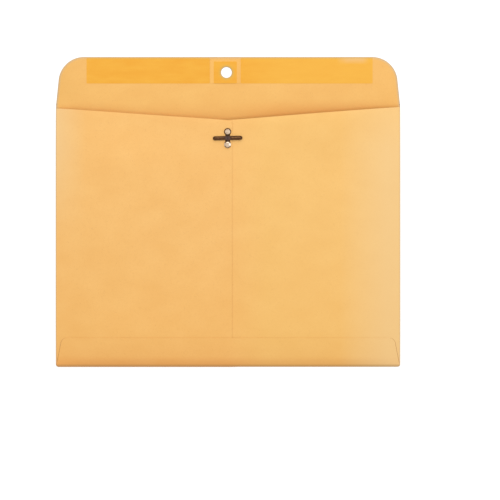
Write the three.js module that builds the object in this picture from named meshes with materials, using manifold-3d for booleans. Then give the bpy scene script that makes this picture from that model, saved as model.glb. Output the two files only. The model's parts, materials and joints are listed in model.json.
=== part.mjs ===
// Kraft clasp envelope that opens on its long side. It lies on its front panel, back up,
// with the seal flap opened out flat. Millimetres, +X along the fold, +Y towards the flap's tip, +Z up.
// The origin is the centre of the front panel's rest face.

import * as THREE from 'three';
import { mergeVertices } from 'three/addons/utils/BufferGeometryUtils.js';
import Module from 'manifold-3d';

const wasm = await Module();
wasm.setup();

// Envelope blank
const ENVELOPE_WIDTH = 317.5;
const ENVELOPE_HEIGHT = 241.3;
const PAPER_THICKNESS = 0.16;
const SEAM_EDGE_X = 3.9;
const SEAM_OVERLAP = 16;
const THROAT_DEPTH = 14;
const LEFT_THROAT_START = 2.8;
const RIGHT_THROAT_START = 1.5;
const SEAM_STEP_DOWN = 0.4;
const BOTTOM_FLAP_DEPTH = 27;
const BOTTOM_FLAP_SLANT = 5;
const BOTTOM_FLAP_CORNER_RADIUS = 6;
const BOTTOM_FLAP_SETTLE_CLEARANCE = 1;
const BOTTOM_FLAP_SETTLE_RUN = 4;
const POCKET_CORNER_RADIUS = 2.6;

// Puffed shape of the pocket
const POCKET_GAP = 5;
const CREASE_LIFT = 1.6;
const BOTTOM_CREASE_LIFT = 0.6;
const FOLD_GAP = 0.4;
const CROWN_POWER = 2.5;
const SIDE_CROWN_RUN = 64;
const BOTTOM_CROWN_RUN = 45;
const BOTTOM_FOLD_RUN = 8;
const BOTTOM_FOLD_SHARE = 0.42;
const FRONT_CURL_RUN = 24;
const MOUTH_RUN = 60;
const THROAT_MARGIN = 3;

// Glue lines
const GLUE_THICKNESS = 0.06;
const GLUE_CLEARANCE = 0.02;
const GLUE_MARGIN = 2;

// Seal flap
const FLAP_DEPTH = 44.7;
const FLAP_CORNER_RADIUS = 23.5;
const FLAP_SIDE_SLOPE = 5.9;
const FOLD_CLEARANCE = 0.15;
const HOLE_RADIUS = 4.9;
const HOLE_LEFT_OF_CLASP = 1.2;
const HOLE_SHORT_OF_CLASP = 0.2;

// Gum and the reinforcing patch on the flap's inner face
const GUM_THICKNESS = 0.06;
const GUM_FROM_FOLD = 20.2;
const GUM_TOP_MARGIN = 0.9;
const GUM_LEFT_MARGIN = 28.15;
const GUM_RIGHT_MARGIN = 25.35;
const GUM_CORNER_RADIUS = 1;
const PATCH_THICKNESS = 0.12;
const PATCH_LEFT_REACH = 15.1;
const PATCH_RIGHT_REACH = 13;
const PATCH_CLEARANCE = 0.2;
const PATCH_SIDE_MARGIN = 3.4;
const PATCH_TOP_MARGIN = 3.3;

// Clasp
const CLASP_X = -0.3;
const CLASP_FROM_FOLD = 30.6;
const PLATE_THICKNESS = 0.3;
const PLATE_CLEARANCE = 0.02;
const LOBE_RADIUS = 3.3;
const LOBE_SPACING = 11.7;
const LOBE_RIM_HEIGHT = 0.35;
const LOBE_RIM_WIDTH = 0.5;
const WAIST_WIDTH = 4.4;
const SLOT_SIDE_CLEARANCE = 0.2;
const SLOT_END_CLEARANCE = 0.8;
const BAR_THICKNESS = 0.25;
const BAR_WIDTH = 5.6;
const RIVET_SHANK_RADIUS = 1.2;
const RIVET_HOLE_CLEARANCE = 0.12;
const RIVET_HEAD_RADIUS = 2.5;
const RIVET_HEAD_HEIGHT = 0.95;
const RIVET_DIMPLE_RADIUS = 0.75;
const RIVET_DIMPLE_DEPTH = 0.35;
const RIVET_CLINCH_RADIUS = 2;
const RIVET_CLINCH_THICKNESS = 0.15;
const PRONG_SPAN = 27.2;
const PRONG_WIDTH = 3.7;
const PRONG_THICKNESS = 0.3;
const PRONG_LIFT = 0.1;
const PRONG_PIVOT_X = 0.9;
const PRONG_ROOT_RADIUS = 0.3;
const PRONG_RIB_WIDTH = 1.3;
const PRONG_RIB_HEIGHT = 0.3;
const PRONG_RIB_START = 2.2;
const PRONG_RIB_TIP_MARGIN = 1.6;
const PRONG_YAW = 1.2;
const TAB_WIDTH = 3.3;
const TAB_CLEARANCE = 0.1;
const CLOSED_FLAP_CLEARANCE = 0.3;

// Mesh fineness
const CROWN_STEPS = 8;
const STEP_SPREAD = 1.5;
const ROLL_STEPS = 6;
const MOUTH_STEPS = 4;
const CIRCLE_STEPS = 32;
const CUTTER_HEIGHT = 60;
const CUTTER_MARGIN = 1;

// Places worked out from the sizes above
const halfWidth = ENVELOPE_WIDTH / 2;
const foldY = ENVELOPE_HEIGHT / 2;
const bottomY = -ENVELOPE_HEIGHT / 2;
const glueStep = PAPER_THICKNESS + 2 * GLUE_CLEARANCE + GLUE_THICKNESS;
const leftEdgeX = -halfWidth + rollRadius(1);
const rightEdgeX = halfWidth - rollRadius(0);
const bottomEdgeY = bottomY + rollRadius(2);
const pocketTop = PAPER_THICKNESS + POCKET_GAP;
const backTop = pocketTop + glueStep + PAPER_THICKNESS;
const claspY = foldY - CLASP_FROM_FOLD;
const holeX = CLASP_X - HOLE_LEFT_OF_CLASP;
const holeFromFold = CLASP_FROM_FOLD - HOLE_SHORT_OF_CLASP;
const patchLeft = holeX - PATCH_LEFT_REACH;
const patchRight = holeX + PATCH_RIGHT_REACH;
const gumLeft = -halfWidth + GUM_LEFT_MARGIN;
const gumRight = halfWidth - GUM_RIGHT_MARGIN;
const plateBottom = backTop + PLATE_CLEARANCE;
const plateTop = plateBottom + PLATE_THICKNESS;
const prongPivotZ = plateTop + PRONG_LIFT + PRONG_THICKNESS / 2;
const claspTop = plateTop + Math.max(RIVET_HEAD_HEIGHT, PRONG_LIFT + PRONG_THICKNESS + PRONG_RIB_HEIGHT);
const flapStack = PAPER_THICKNESS + PATCH_THICKNESS + GUM_THICKNESS;
const flapFoldZ = (claspTop + CLOSED_FLAP_CLEARANCE + flapStack) / 2;
const barTop = pocketTop - PLATE_CLEARANCE;
const barBottom = barTop - BAR_THICKNESS;
const tabLeft = PRONG_PIVOT_X - PRONG_THICKNESS / 2;
const tabRight = PRONG_PIVOT_X + PRONG_THICKNESS / 2;
const slotHalfX = tabRight + SLOT_SIDE_CLEARANCE;
const slotHalfY = TAB_WIDTH / 2 + SLOT_END_CLEARANCE;

// Materials
const kraft = { color: 0xfac174, roughness: 0.82, metalness: 0 };
const kraftInside = { color: 0xf6bd72, roughness: 0.84, metalness: 0 };
const gum = { color: 0xf7b548, roughness: 0.35, metalness: 0 };
const glue = { color: 0xe6c98f, roughness: 0.5, metalness: 0 };
const tin = { color: 0xd9c7b2, roughness: 0.28, metalness: 0.9 };
const darkTin = { color: 0x6a4d31, roughness: 0.38, metalness: 0.85 };

const envelope = new THREE.Group();
const flapHinge = addHinge(0, foldY, flapFoldZ, 0);
const leftProngHinge = addHinge(CLASP_X - PRONG_PIVOT_X, claspY, prongPivotZ, 180 + PRONG_YAW);
const rightProngHinge = addHinge(CLASP_X + PRONG_PIVOT_X, claspY, prongPivotZ, PRONG_YAW);

// A group with its origin on the line that its pieces turn about
function addHinge(x, y, z, yaw) {
  const hinge = new THREE.Group();
  hinge.position.set(x, y, z);
  hinge.rotation.z = THREE.MathUtils.degToRad(yaw);
  envelope.add(hinge);
  return hinge;
}

function addPiece(parent, name, geometry, finish) {
  const mesh = new THREE.Mesh(geometry, new THREE.MeshStandardMaterial(finish));
  mesh.name = name;
  parent.add(mesh);
}

// Outer radius of a fold that closes over a number of glued layers
function rollRadius(layers) {
  return (FOLD_GAP + layers * glueStep) / 2 + PAPER_THICKNESS;
}

// Booleans

function toSolid(geometry) {
  const bare = geometry.clone();
  bare.deleteAttribute('normal');
  bare.deleteAttribute('uv');
  const merged = mergeVertices(bare, 1e-5);
  const vertProperties = new Float32Array(merged.attributes.position.array);
  const triVerts = new Uint32Array(merged.index.array);
  return new wasm.Manifold(new wasm.Mesh({ numProp: 3, vertProperties, triVerts }));
}

function toGeometry(solid) {
  const mesh = solid.getMesh();
  const geometry = new THREE.BufferGeometry();
  geometry.setAttribute('position', new THREE.BufferAttribute(mesh.vertProperties, 3));
  geometry.setIndex(new THREE.BufferAttribute(mesh.triVerts, 1));
  geometry.computeVertexNormals();
  return geometry;
}

function cutFrom(geometry, cutters) {
  const solid = cutters.reduce((rest, cutter) => rest.subtract(toSolid(cutter)), toSolid(geometry));
  return toGeometry(solid);
}

function join(geometries) {
  const [first, ...others] = geometries.map(toSolid);
  return toGeometry(others.reduce((whole, part) => whole.add(part), first));
}

// Shape helpers

function plate(shape, thickness, bottom) {
  const geometry = new THREE.ExtrudeGeometry(shape, {
    depth: thickness,
    bevelEnabled: false,
    curveSegments: CIRCLE_STEPS / 4,
  });
  return geometry.translate(0, 0, bottom);
}

function roundedRectangle(left, bottom, right, top, radius) {
  const shape = new THREE.Shape();
  shape.moveTo(left + radius, bottom);
  shape.lineTo(right - radius, bottom);
  shape.absarc(right - radius, bottom + radius, radius, -Math.PI / 2, 0);
  shape.lineTo(right, top - radius);
  shape.absarc(right - radius, top - radius, radius, 0, Math.PI / 2);
  shape.lineTo(left + radius, top);
  shape.absarc(left + radius, top - radius, radius, Math.PI / 2, Math.PI);
  shape.lineTo(left, bottom + radius);
  shape.absarc(left + radius, bottom + radius, radius, Math.PI, Math.PI * 1.5);
  return shape;
}

function roundHole(x, y, radius) {
  return new THREE.Path().absarc(x, y, radius, 0, Math.PI * 2);
}

function rectangleHole(x, y, halfX, halfY) {
  const hole = new THREE.Path();
  hole.moveTo(x - halfX, y - halfY);
  hole.lineTo(x - halfX, y + halfY);
  hole.lineTo(x + halfX, y + halfY);
  hole.lineTo(x + halfX, y - halfY);
  hole.closePath();
  return hole;
}

function lobeCentres() {
  return [claspY + LOBE_SPACING / 2, claspY - LOBE_SPACING / 2];
}

// Cutters for the rivet shanks and the prong roots, which pass through both back panels
function claspCutters() {
  const holeRadius = RIVET_SHANK_RADIUS + RIVET_HOLE_CLEARANCE;
  const shanks = lobeCentres().map((y) => {
    const cylinder = new THREE.CylinderGeometry(holeRadius, holeRadius, CUTTER_HEIGHT, CIRCLE_STEPS / 2);
    return cylinder.rotateX(Math.PI / 2).translate(CLASP_X, y, 0);
  });
  const slot = new THREE.BoxGeometry(2 * slotHalfX, 2 * slotHalfY, CUTTER_HEIGHT);
  return [...shanks, slot.translate(CLASP_X, claspY, 0)];
}

// Cutters that round the two bottom corners of the pocket
function cornerCutters() {
  const radius = POCKET_CORNER_RADIUS;
  const shape = new THREE.Shape();
  shape.moveTo(0, radius);
  shape.absarc(radius, radius, radius, Math.PI, Math.PI * 1.5);
  shape.lineTo(radius, -CUTTER_MARGIN);
  shape.lineTo(-CUTTER_MARGIN, -CUTTER_MARGIN);
  shape.lineTo(-CUTTER_MARGIN, radius);
  const left = plate(shape, CUTTER_HEIGHT, -CUTTER_HEIGHT / 2);
  const right = left.clone().rotateZ(Math.PI / 2);
  return [left.translate(-halfWidth, bottomY, 0), right.translate(halfWidth, bottomY, 0)];
}

// Puffed form of the pocket. Every sheet of the pocket follows these functions.

function easeOut(distance, run, power) {
  const share = Math.min(Math.max(distance / run, 0), 1);
  return 1 - (1 - share) ** power;
}

function sideDistance(x) {
  return Math.min(x - leftEdgeX, rightEdgeX - x);
}

// Height of the side and bottom creases: the sides lift off the table, and come down to it at the mouth
function creaseLift(y) {
  const rise = easeOut(y - bottomEdgeY, MOUTH_RUN, 2);
  const lift = BOTTOM_CREASE_LIFT + (CREASE_LIFT - BOTTOM_CREASE_LIFT) * rise;
  return lift * easeOut(foldY - y, MOUTH_RUN, 2);
}

// Rise of the back from the bottom crease: a tight fold and then a long, shallow curve
function bottomCrown(y) {
  const fromBottom = y - bottomEdgeY;
  const tight = easeOut(fromBottom, BOTTOM_FOLD_RUN, 2);
  const shallow = easeOut(fromBottom, BOTTOM_CROWN_RUN, CROWN_POWER);
  return shallow + BOTTOM_FOLD_SHARE * (tight - shallow);
}

function frontUnderside(x, y) {
  const fromSide = easeOut(sideDistance(x), FRONT_CURL_RUN, 2);
  const fromBottom = easeOut(y - bottomEdgeY, FRONT_CURL_RUN, 2);
  return creaseLift(y) * (1 - fromSide * fromBottom);
}

function backInnerFace(x, y) {
  const crease = creaseLift(y) + PAPER_THICKNESS + FOLD_GAP;
  const fromSide = easeOut(sideDistance(x), SIDE_CROWN_RUN, CROWN_POWER);
  return crease + (pocketTop - crease) * fromSide * bottomCrown(y);
}

// Upper edge of the back panels: a shallow V from the ends of the fold to the middle
function throatY(x) {
  const towardsMiddle = 1 - Math.min(Math.abs(x) / halfWidth, 1);
  const start = x < 0 ? LEFT_THROAT_START : RIGHT_THROAT_START;
  return foldY - start - (THROAT_DEPTH - start) * towardsMiddle;
}

// Stations crowd towards the crease, where the sheet curves most
function crowdedSteps(run) {
  return Array.from({ length: CROWN_STEPS + 1 }, (_, i) => run * (i / CROWN_STEPS) ** STEP_SPREAD);
}

const leftStations = crowdedSteps(SIDE_CROWN_RUN).map((d) => leftEdgeX + d);
const rightStations = crowdedSteps(SIDE_CROWN_RUN).map((d) => rightEdgeX - d).reverse();
const bottomStations = crowdedSteps(BOTTOM_CROWN_RUN).map((d) => bottomEdgeY + d);
const mouthStations = Array.from({ length: MOUTH_STEPS + 1 }, (_, i) => {
  const from = foldY - MOUTH_RUN;
  const to = foldY - THROAT_DEPTH - THROAT_MARGIN;
  return from + ((to - from) * i) / MOUTH_STEPS;
});
const panelStations = [...bottomStations, ...mouthStations];
const settleStart = SEAM_EDGE_X + BOTTOM_FLAP_SETTLE_CLEARANCE;
const settleStations = [settleStart, settleStart + BOTTOM_FLAP_SETTLE_RUN];
const bottomFlapColumns = [...leftStations, ...settleStations, ...rightStations];

// A sheet of paper as a closed solid. pointPair(i, j) gives the inner and the outer point of a
// grid node; the columns run to the right and the rows towards the fold, seen from outside.
function sheet(columnCount, rowCount, pointPair) {
  const positions = [];
  for (let i = 0; i < columnCount; i += 1) {
    for (let j = 0; j < rowCount; j += 1) {
      const [inner, outer] = pointPair(i, j);
      positions.push(...inner, ...outer);
    }
  }
  const inner = (i, j) => 2 * (i * rowCount + j);
  const outer = (i, j) => inner(i, j) + 1;
  const indices = [];
  const quad = (a, b, c, d) => indices.push(a, b, c, a, c, d);
  const lastColumn = columnCount - 1;
  const lastRow = rowCount - 1;
  for (let i = 0; i < lastColumn; i += 1) {
    for (let j = 0; j < lastRow; j += 1) {
      quad(outer(i, j), outer(i + 1, j), outer(i + 1, j + 1), outer(i, j + 1));
      quad(inner(i, j), inner(i, j + 1), inner(i + 1, j + 1), inner(i + 1, j));
    }
    quad(inner(i, 0), inner(i + 1, 0), outer(i + 1, 0), outer(i, 0));
    quad(outer(i, lastRow), outer(i + 1, lastRow), inner(i + 1, lastRow), inner(i, lastRow));
  }
  for (let j = 0; j < lastRow; j += 1) {
    quad(outer(0, j), outer(0, j + 1), inner(0, j + 1), inner(0, j));
    quad(inner(lastColumn, j), inner(lastColumn, j + 1), outer(lastColumn, j + 1), outer(lastColumn, j));
  }
  const geometry = new THREE.BufferGeometry();
  geometry.setAttribute('position', new THREE.Float32BufferAttribute(positions, 3));
  geometry.setIndex(indices);
  geometry.computeVertexNormals();
  return geometry;
}

// A sheet over a rectangular grid, at a given height over the table
function levelSheet(columns, rows, thickness, heightAt) {
  return sheet(columns.length, rows.length, (i, j) => {
    const x = columns[i];
    const y = rows[j];
    const z = heightAt(x, y);
    return [[x, y, z], [x, y, z + thickness]];
  });
}

// Points of a rolled fold, from its lower end round to its upper end, as distance out and height
function rollPoint(step, radius) {
  const angle = -Math.PI / 2 + (Math.PI * step) / ROLL_STEPS;
  return { out: radius * Math.cos(angle), up: radius * Math.sin(angle) };
}

function buildFrontPanel() {
  const sideSteps = crowdedSteps(FRONT_CURL_RUN);
  const columns = [...sideSteps.map((d) => leftEdgeX + d), ...sideSteps.map((d) => rightEdgeX - d).reverse()];
  const curlRows = sideSteps.map((d) => bottomEdgeY + d);
  const rows = [...curlRows, ...mouthStations, foldY - FOLD_CLEARANCE];
  return cutFrom(levelSheet(columns, rows, PAPER_THICKNESS, frontUnderside), cornerCutters());
}

// A back panel with the rolled fold that joins it to the front panel's side edge. side is -1 for
// the left panel and 1 for the right one, and layers is how many sheets lie under it.
function buildBackPanel(side, stations, layers, edgeX, throatAt) {
  const rollSteps = Array.from({ length: ROLL_STEPS }, (_, i) => i);
  const roll = rollSteps.map((i) => ({ rollStep: i }));
  const flat = stations.map((x) => ({ x }));
  const columns = side < 0 ? [...roll, ...flat] : [...flat, ...roll.reverse()];
  const outerRadius = rollRadius(layers);
  const innerRadius = outerRadius - PAPER_THICKNESS;
  const panel = sheet(columns.length, panelStations.length + 1, (i, j) => {
    const column = columns[i];
    const x = column.x ?? edgeX;
    const y = j < panelStations.length ? panelStations[j] : throatAt(x);
    const z = backInnerFace(x, y) + layers * glueStep;
    if (column.x !== undefined) {
      return [[x, y, z], [x, y, z + PAPER_THICKNESS]];
    }
    const centreZ = z - innerRadius;
    const inner = rollPoint(column.rollStep, innerRadius);
    const outer = rollPoint(column.rollStep, outerRadius);
    return [
      [edgeX + side * inner.out, y, centreZ + inner.up],
      [edgeX + side * outer.out, y, centreZ + outer.up],
    ];
  });
  return cutFrom(panel, [...claspCutters(), ...cornerCutters()]);
}

function buildLeftBackPanel() {
  const stations = [...leftStations, -SEAM_EDGE_X, SEAM_EDGE_X];
  const flatThroat = (x) => (x > -SEAM_EDGE_X - 1e-6 ? throatY(0) - SEAM_STEP_DOWN : throatY(x));
  return buildBackPanel(-1, stations, 1, leftEdgeX, flatThroat);
}

function buildRightBackPanel() {
  const stations = [SEAM_EDGE_X - SEAM_OVERLAP, 0, ...rightStations];
  return buildBackPanel(1, stations, 0, rightEdgeX, throatY);
}

// How many sheets the bottom flap lies on: the left panel's on the right one's, and past the
// seam the right one's alone, on which the flap settles over a short run
function layersUnderFlap(x) {
  return 2 - Math.min(Math.max((x - settleStart) / BOTTOM_FLAP_SETTLE_RUN, 0), 1);
}

// The bottom flap rolls round the lower ends of the back panels and lies over them
function buildBottomFlap() {
  const topY = bottomY + BOTTOM_FLAP_DEPTH;
  const flatRows = [...bottomStations.filter((y) => y < topY - GLUE_MARGIN), topY];
  const folded = sheet(bottomFlapColumns.length, ROLL_STEPS + flatRows.length, (i, j) => {
    const x = bottomFlapColumns[i];
    const y = j < ROLL_STEPS ? bottomEdgeY : flatRows[j - ROLL_STEPS];
    const z = backInnerFace(x, y) + layersUnderFlap(x) * glueStep;
    if (j >= ROLL_STEPS) {
      return [[x, y, z], [x, y, z + PAPER_THICKNESS]];
    }
    const outerRadius = rollRadius(layersUnderFlap(x));
    const innerRadius = outerRadius - PAPER_THICKNESS;
    const centreZ = z - innerRadius;
    const inner = rollPoint(j, innerRadius);
    const outer = rollPoint(j, outerRadius);
    return [[x, y - inner.out, centreZ + inner.up], [x, y - outer.out, centreZ + outer.up]];
  });
  const outline = roundedTrapezoid(leftEdgeX, rightEdgeX, bottomEdgeY, topY);
  const keep = plate(outline, CUTTER_HEIGHT, -CUTTER_HEIGHT / 2);
  const trimmed = toGeometry(toSolid(folded).intersect(toSolid(keep)));
  return cutFrom(trimmed, cornerCutters());
}

// Outline of the bottom flap: it narrows towards its upper edge, whose corners are rounded
function roundedTrapezoid(left, right, slantStart, top) {
  const below = bottomY - ENVELOPE_HEIGHT;
  const slant = new THREE.Vector2(BOTTOM_FLAP_SLANT, top - slantStart).normalize();
  const tangent = BOTTOM_FLAP_CORNER_RADIUS * (1 - slant.x) / slant.y;
  const shape = new THREE.Shape();
  shape.moveTo(left, below);
  shape.lineTo(right, below);
  shape.lineTo(right, slantStart);
  shape.lineTo(right - BOTTOM_FLAP_SLANT + slant.x * tangent, top - slant.y * tangent);
  shape.quadraticCurveTo(right - BOTTOM_FLAP_SLANT, top, right - BOTTOM_FLAP_SLANT - tangent, top);
  shape.lineTo(left + BOTTOM_FLAP_SLANT + tangent, top);
  shape.quadraticCurveTo(
    left + BOTTOM_FLAP_SLANT,
    top,
    left + BOTTOM_FLAP_SLANT - slant.x * tangent,
    top - slant.y * tangent,
  );
  shape.lineTo(left, slantStart);
  return shape;
}

// Glue lines

function buildSeamGlue() {
  const columns = [SEAM_EDGE_X - SEAM_OVERLAP + GLUE_MARGIN, SEAM_EDGE_X - GLUE_MARGIN];
  const rows = panelStations.slice(1);
  const height = (x, y) => backInnerFace(x, y) + PAPER_THICKNESS + GLUE_CLEARANCE;
  return cutFrom(levelSheet(columns, rows, GLUE_THICKNESS, height), claspCutters());
}

function buildBottomFlapGlue() {
  const clearOfSlant = (x) => sideDistance(x) > BOTTOM_FLAP_SLANT + GLUE_MARGIN;
  const columns = bottomFlapColumns.filter(clearOfSlant);
  const topY = bottomY + BOTTOM_FLAP_DEPTH - GLUE_MARGIN;
  const rows = bottomStations.filter((y) => y > bottomEdgeY + GLUE_MARGIN && y < topY);
  const underFlap = GLUE_CLEARANCE + GLUE_THICKNESS;
  const height = (x, y) => backInnerFace(x, y) + layersUnderFlap(x) * glueStep - underFlap;
  return levelSheet(columns, rows, GLUE_THICKNESS, height);
}

// Seal flap

// Outline of the seal flap: sides that lean in from the fold and end in large round corners
function flapOutline() {
  const slope = THREE.MathUtils.degToRad(FLAP_SIDE_SLOPE);
  const top = FLAP_DEPTH;
  const centreY = top - FLAP_CORNER_RADIUS;
  const centreX = halfWidth - centreY * Math.tan(slope) - FLAP_CORNER_RADIUS / Math.cos(slope);
  const startX = halfWidth - FOLD_CLEARANCE * Math.tan(slope);
  const shape = new THREE.Shape();
  shape.moveTo(-startX, FOLD_CLEARANCE);
  shape.lineTo(startX, FOLD_CLEARANCE);
  shape.absarc(centreX, centreY, FLAP_CORNER_RADIUS, slope, Math.PI / 2);
  shape.absarc(-centreX, centreY, FLAP_CORNER_RADIUS, Math.PI / 2, Math.PI - slope);
  return shape;
}

// A flat piece of the flap, from heights over the table to heights over the flap's hinge line
function flapPlate(shape, thickness, bottom) {
  return plate(shape, thickness, bottom - flapFoldZ);
}

function buildSealFlap() {
  const outline = flapOutline();
  outline.holes.push(roundHole(holeX, holeFromFold, HOLE_RADIUS));
  return flapPlate(outline, PAPER_THICKNESS, 0);
}

function buildGumStrip(left, right) {
  const top = FLAP_DEPTH - GUM_TOP_MARGIN;
  const outline = roundedRectangle(left, GUM_FROM_FOLD, right, top, GUM_CORNER_RADIUS);
  return flapPlate(outline, GUM_THICKNESS, PAPER_THICKNESS);
}

function buildHoleReinforcement() {
  const top = FLAP_DEPTH - GUM_TOP_MARGIN;
  const outline = roundedRectangle(patchLeft, GUM_FROM_FOLD, patchRight, top, GUM_CORNER_RADIUS);
  outline.holes.push(roundHole(holeX, holeFromFold, HOLE_RADIUS));
  return flapPlate(outline, PATCH_THICKNESS, PAPER_THICKNESS);
}

function buildCentreGum() {
  const top = FLAP_DEPTH - GUM_TOP_MARGIN - PATCH_TOP_MARGIN;
  const left = patchLeft + PATCH_SIDE_MARGIN;
  const right = patchRight - PATCH_SIDE_MARGIN;
  const outline = roundedRectangle(left, GUM_FROM_FOLD, right, top, GUM_CORNER_RADIUS);
  outline.holes.push(roundHole(holeX, holeFromFold, HOLE_RADIUS));
  return flapPlate(outline, GUM_THICKNESS, PAPER_THICKNESS + PATCH_THICKNESS);
}

// Clasp

// Figure-eight outline: two round lobes joined by a waist
function figureEight() {
  const [upperY, lowerY] = lobeCentres();
  const meet = Math.acos(WAIST_WIDTH / 2 / LOBE_RADIUS);
  const shape = new THREE.Shape();
  shape.absarc(CLASP_X, upperY, LOBE_RADIUS, -meet, Math.PI + meet);
  shape.absarc(CLASP_X, lowerY, LOBE_RADIUS, Math.PI - meet, 2 * Math.PI + meet);
  return shape;
}

function buildClaspPlate() {
  const outline = figureEight();
  const shankHole = RIVET_SHANK_RADIUS + RIVET_HOLE_CLEARANCE;
  outline.holes.push(...lobeCentres().map((y) => roundHole(CLASP_X, y, shankHole)));
  outline.holes.push(rectangleHole(CLASP_X, claspY, slotHalfX, slotHalfY));
  const base = plate(outline, PLATE_THICKNESS, plateBottom);
  return join([base, ...lobeCentres().map(lobeRim)]);
}

// Raised round rim of one lobe, which cups the rivet head
function lobeRim(y) {
  const outer = LOBE_RADIUS;
  const inner = LOBE_RADIUS - LOBE_RIM_WIDTH;
  const low = PLATE_THICKNESS / 2;
  const top = PLATE_THICKNESS + LOBE_RIM_HEIGHT;
  const corner = LOBE_RIM_WIDTH / 4;
  const profile = [
    new THREE.Vector2(inner, low),
    new THREE.Vector2(outer, low),
    new THREE.Vector2(outer, top - corner),
    new THREE.Vector2(outer - corner, top),
    new THREE.Vector2(inner + corner, top),
    new THREE.Vector2(inner, top - corner),
    new THREE.Vector2(inner, low),
  ];
  return lathe(profile, CLASP_X, y, plateBottom);
}

function lathe(profile, x, y, bottom) {
  const geometry = new THREE.LatheGeometry(profile, CIRCLE_STEPS);
  return geometry.rotateX(Math.PI / 2).translate(x, y, bottom);
}

// Tubular rivet: clinched under the base bar, through both back panels, with a domed head that
// has a dimple in its middle
function buildRivet(y) {
  const head = plateTop - barBottom + RIVET_CLINCH_THICKNESS;
  const profile = [
    new THREE.Vector2(0, 0),
    new THREE.Vector2(RIVET_CLINCH_RADIUS, 0),
    new THREE.Vector2(RIVET_CLINCH_RADIUS, RIVET_CLINCH_THICKNESS),
    new THREE.Vector2(RIVET_SHANK_RADIUS, RIVET_CLINCH_THICKNESS),
    new THREE.Vector2(RIVET_SHANK_RADIUS, head),
    new THREE.Vector2(RIVET_HEAD_RADIUS, head),
    ...domePoints(head),
    new THREE.Vector2(0, head + RIVET_HEAD_HEIGHT - RIVET_DIMPLE_DEPTH),
  ];
  return lathe(profile, CLASP_X, y, barBottom - RIVET_CLINCH_THICKNESS);
}

// Quarter-ellipse dome from the head's edge up to the rim of its dimple
function domePoints(base) {
  const steps = CIRCLE_STEPS / 4;
  const domeWidth = RIVET_HEAD_RADIUS - RIVET_DIMPLE_RADIUS;
  return Array.from({ length: steps }, (_, i) => {
    const angle = ((i + 1) / steps) * (Math.PI / 2);
    const radius = RIVET_DIMPLE_RADIUS + domeWidth * Math.cos(angle);
    return new THREE.Vector2(radius, base + RIVET_HEAD_HEIGHT * Math.sin(angle));
  });
}

// Flat bar inside the pocket. Its two tabs rise through the slot and carry the prongs.
function buildBaseBar() {
  const halfLength = LOBE_SPACING / 2 + BAR_WIDTH / 2;
  const halfBar = BAR_WIDTH / 2;
  const outline = roundedRectangle(
    CLASP_X - halfBar,
    claspY - halfLength,
    CLASP_X + halfBar,
    claspY + halfLength,
    halfBar,
  );
  const shankHole = RIVET_SHANK_RADIUS + RIVET_HOLE_CLEARANCE;
  outline.holes.push(...lobeCentres().map((y) => roundHole(CLASP_X, y, shankHole)));
  const bar = plate(outline, BAR_THICKNESS, barBottom);
  return join([bar, prongTab(-1), prongTab(1)]);
}

function prongTab(side) {
  const top = prongPivotZ - PRONG_ROOT_RADIUS - TAB_CLEARANCE;
  const bottom = barBottom + BAR_THICKNESS / 2;
  const tab = new THREE.BoxGeometry(tabRight - tabLeft, TAB_WIDTH, top - bottom);
  const x = CLASP_X + side * PRONG_PIVOT_X;
  return tab.translate(x, claspY, (top + bottom) / 2);
}

// One prong, from the bend that it turns on: a strip with a round tip, a pressed rib along its
// middle and a thicker, rounded root where the metal was bent out of the slot
function buildProng() {
  const length = PRONG_SPAN / 2 - PRONG_PIVOT_X;
  const halfProng = PRONG_WIDTH / 2;
  const outline = new THREE.Shape();
  outline.moveTo(0, -halfProng);
  outline.lineTo(length - halfProng, -halfProng);
  outline.absarc(length - halfProng, 0, halfProng, -Math.PI / 2, Math.PI / 2);
  outline.lineTo(0, halfProng);
  const strip = plate(outline, PRONG_THICKNESS, -PRONG_THICKNESS / 2);
  const root = new THREE.CylinderGeometry(
    PRONG_ROOT_RADIUS,
    PRONG_ROOT_RADIUS,
    PRONG_WIDTH,
    CIRCLE_STEPS / 2,
  );
  return join([strip, root, prongRib(length)]);
}

function prongRib(length) {
  const radius = PRONG_RIB_WIDTH / 2;
  const straight = length - PRONG_RIB_START - PRONG_RIB_TIP_MARGIN - PRONG_RIB_WIDTH;
  const rib = new THREE.CapsuleGeometry(radius, straight, 4, CIRCLE_STEPS / 2);
  const flatten = PRONG_RIB_HEIGHT / radius;
  const middle = PRONG_RIB_START + radius + straight / 2;
  return rib.rotateZ(Math.PI / 2).scale(1, 1, flatten).translate(middle, 0, PRONG_THICKNESS / 2);
}

addPiece(envelope, 'front_panel', buildFrontPanel(), kraft);
addPiece(envelope, 'left_back_panel', buildLeftBackPanel(), kraft);
addPiece(envelope, 'right_back_panel', buildRightBackPanel(), kraft);
addPiece(envelope, 'bottom_flap', buildBottomFlap(), kraft);
addPiece(envelope, 'seam_glue', buildSeamGlue(), glue);
addPiece(envelope, 'bottom_flap_glue', buildBottomFlapGlue(), glue);
addPiece(flapHinge, 'seal_flap', buildSealFlap(), kraftInside);
addPiece(flapHinge, 'gum_strip_left', buildGumStrip(gumLeft, patchLeft - PATCH_CLEARANCE), gum);
addPiece(flapHinge, 'gum_strip_right', buildGumStrip(patchRight + PATCH_CLEARANCE, gumRight), gum);
addPiece(flapHinge, 'hole_reinforcement', buildHoleReinforcement(), kraftInside);
addPiece(flapHinge, 'centre_gum', buildCentreGum(), gum);
addPiece(envelope, 'clasp_plate', buildClaspPlate(), darkTin);
addPiece(envelope, 'clasp_base_bar', buildBaseBar(), darkTin);
addPiece(envelope, 'rivet_upper', buildRivet(lobeCentres()[0]), tin);
addPiece(envelope, 'rivet_lower', buildRivet(lobeCentres()[1]), tin);
addPiece(leftProngHinge, 'prong_left', buildProng(), darkTin);
addPiece(rightProngHinge, 'prong_right', buildProng(), darkTin);

export default envelope;
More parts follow.
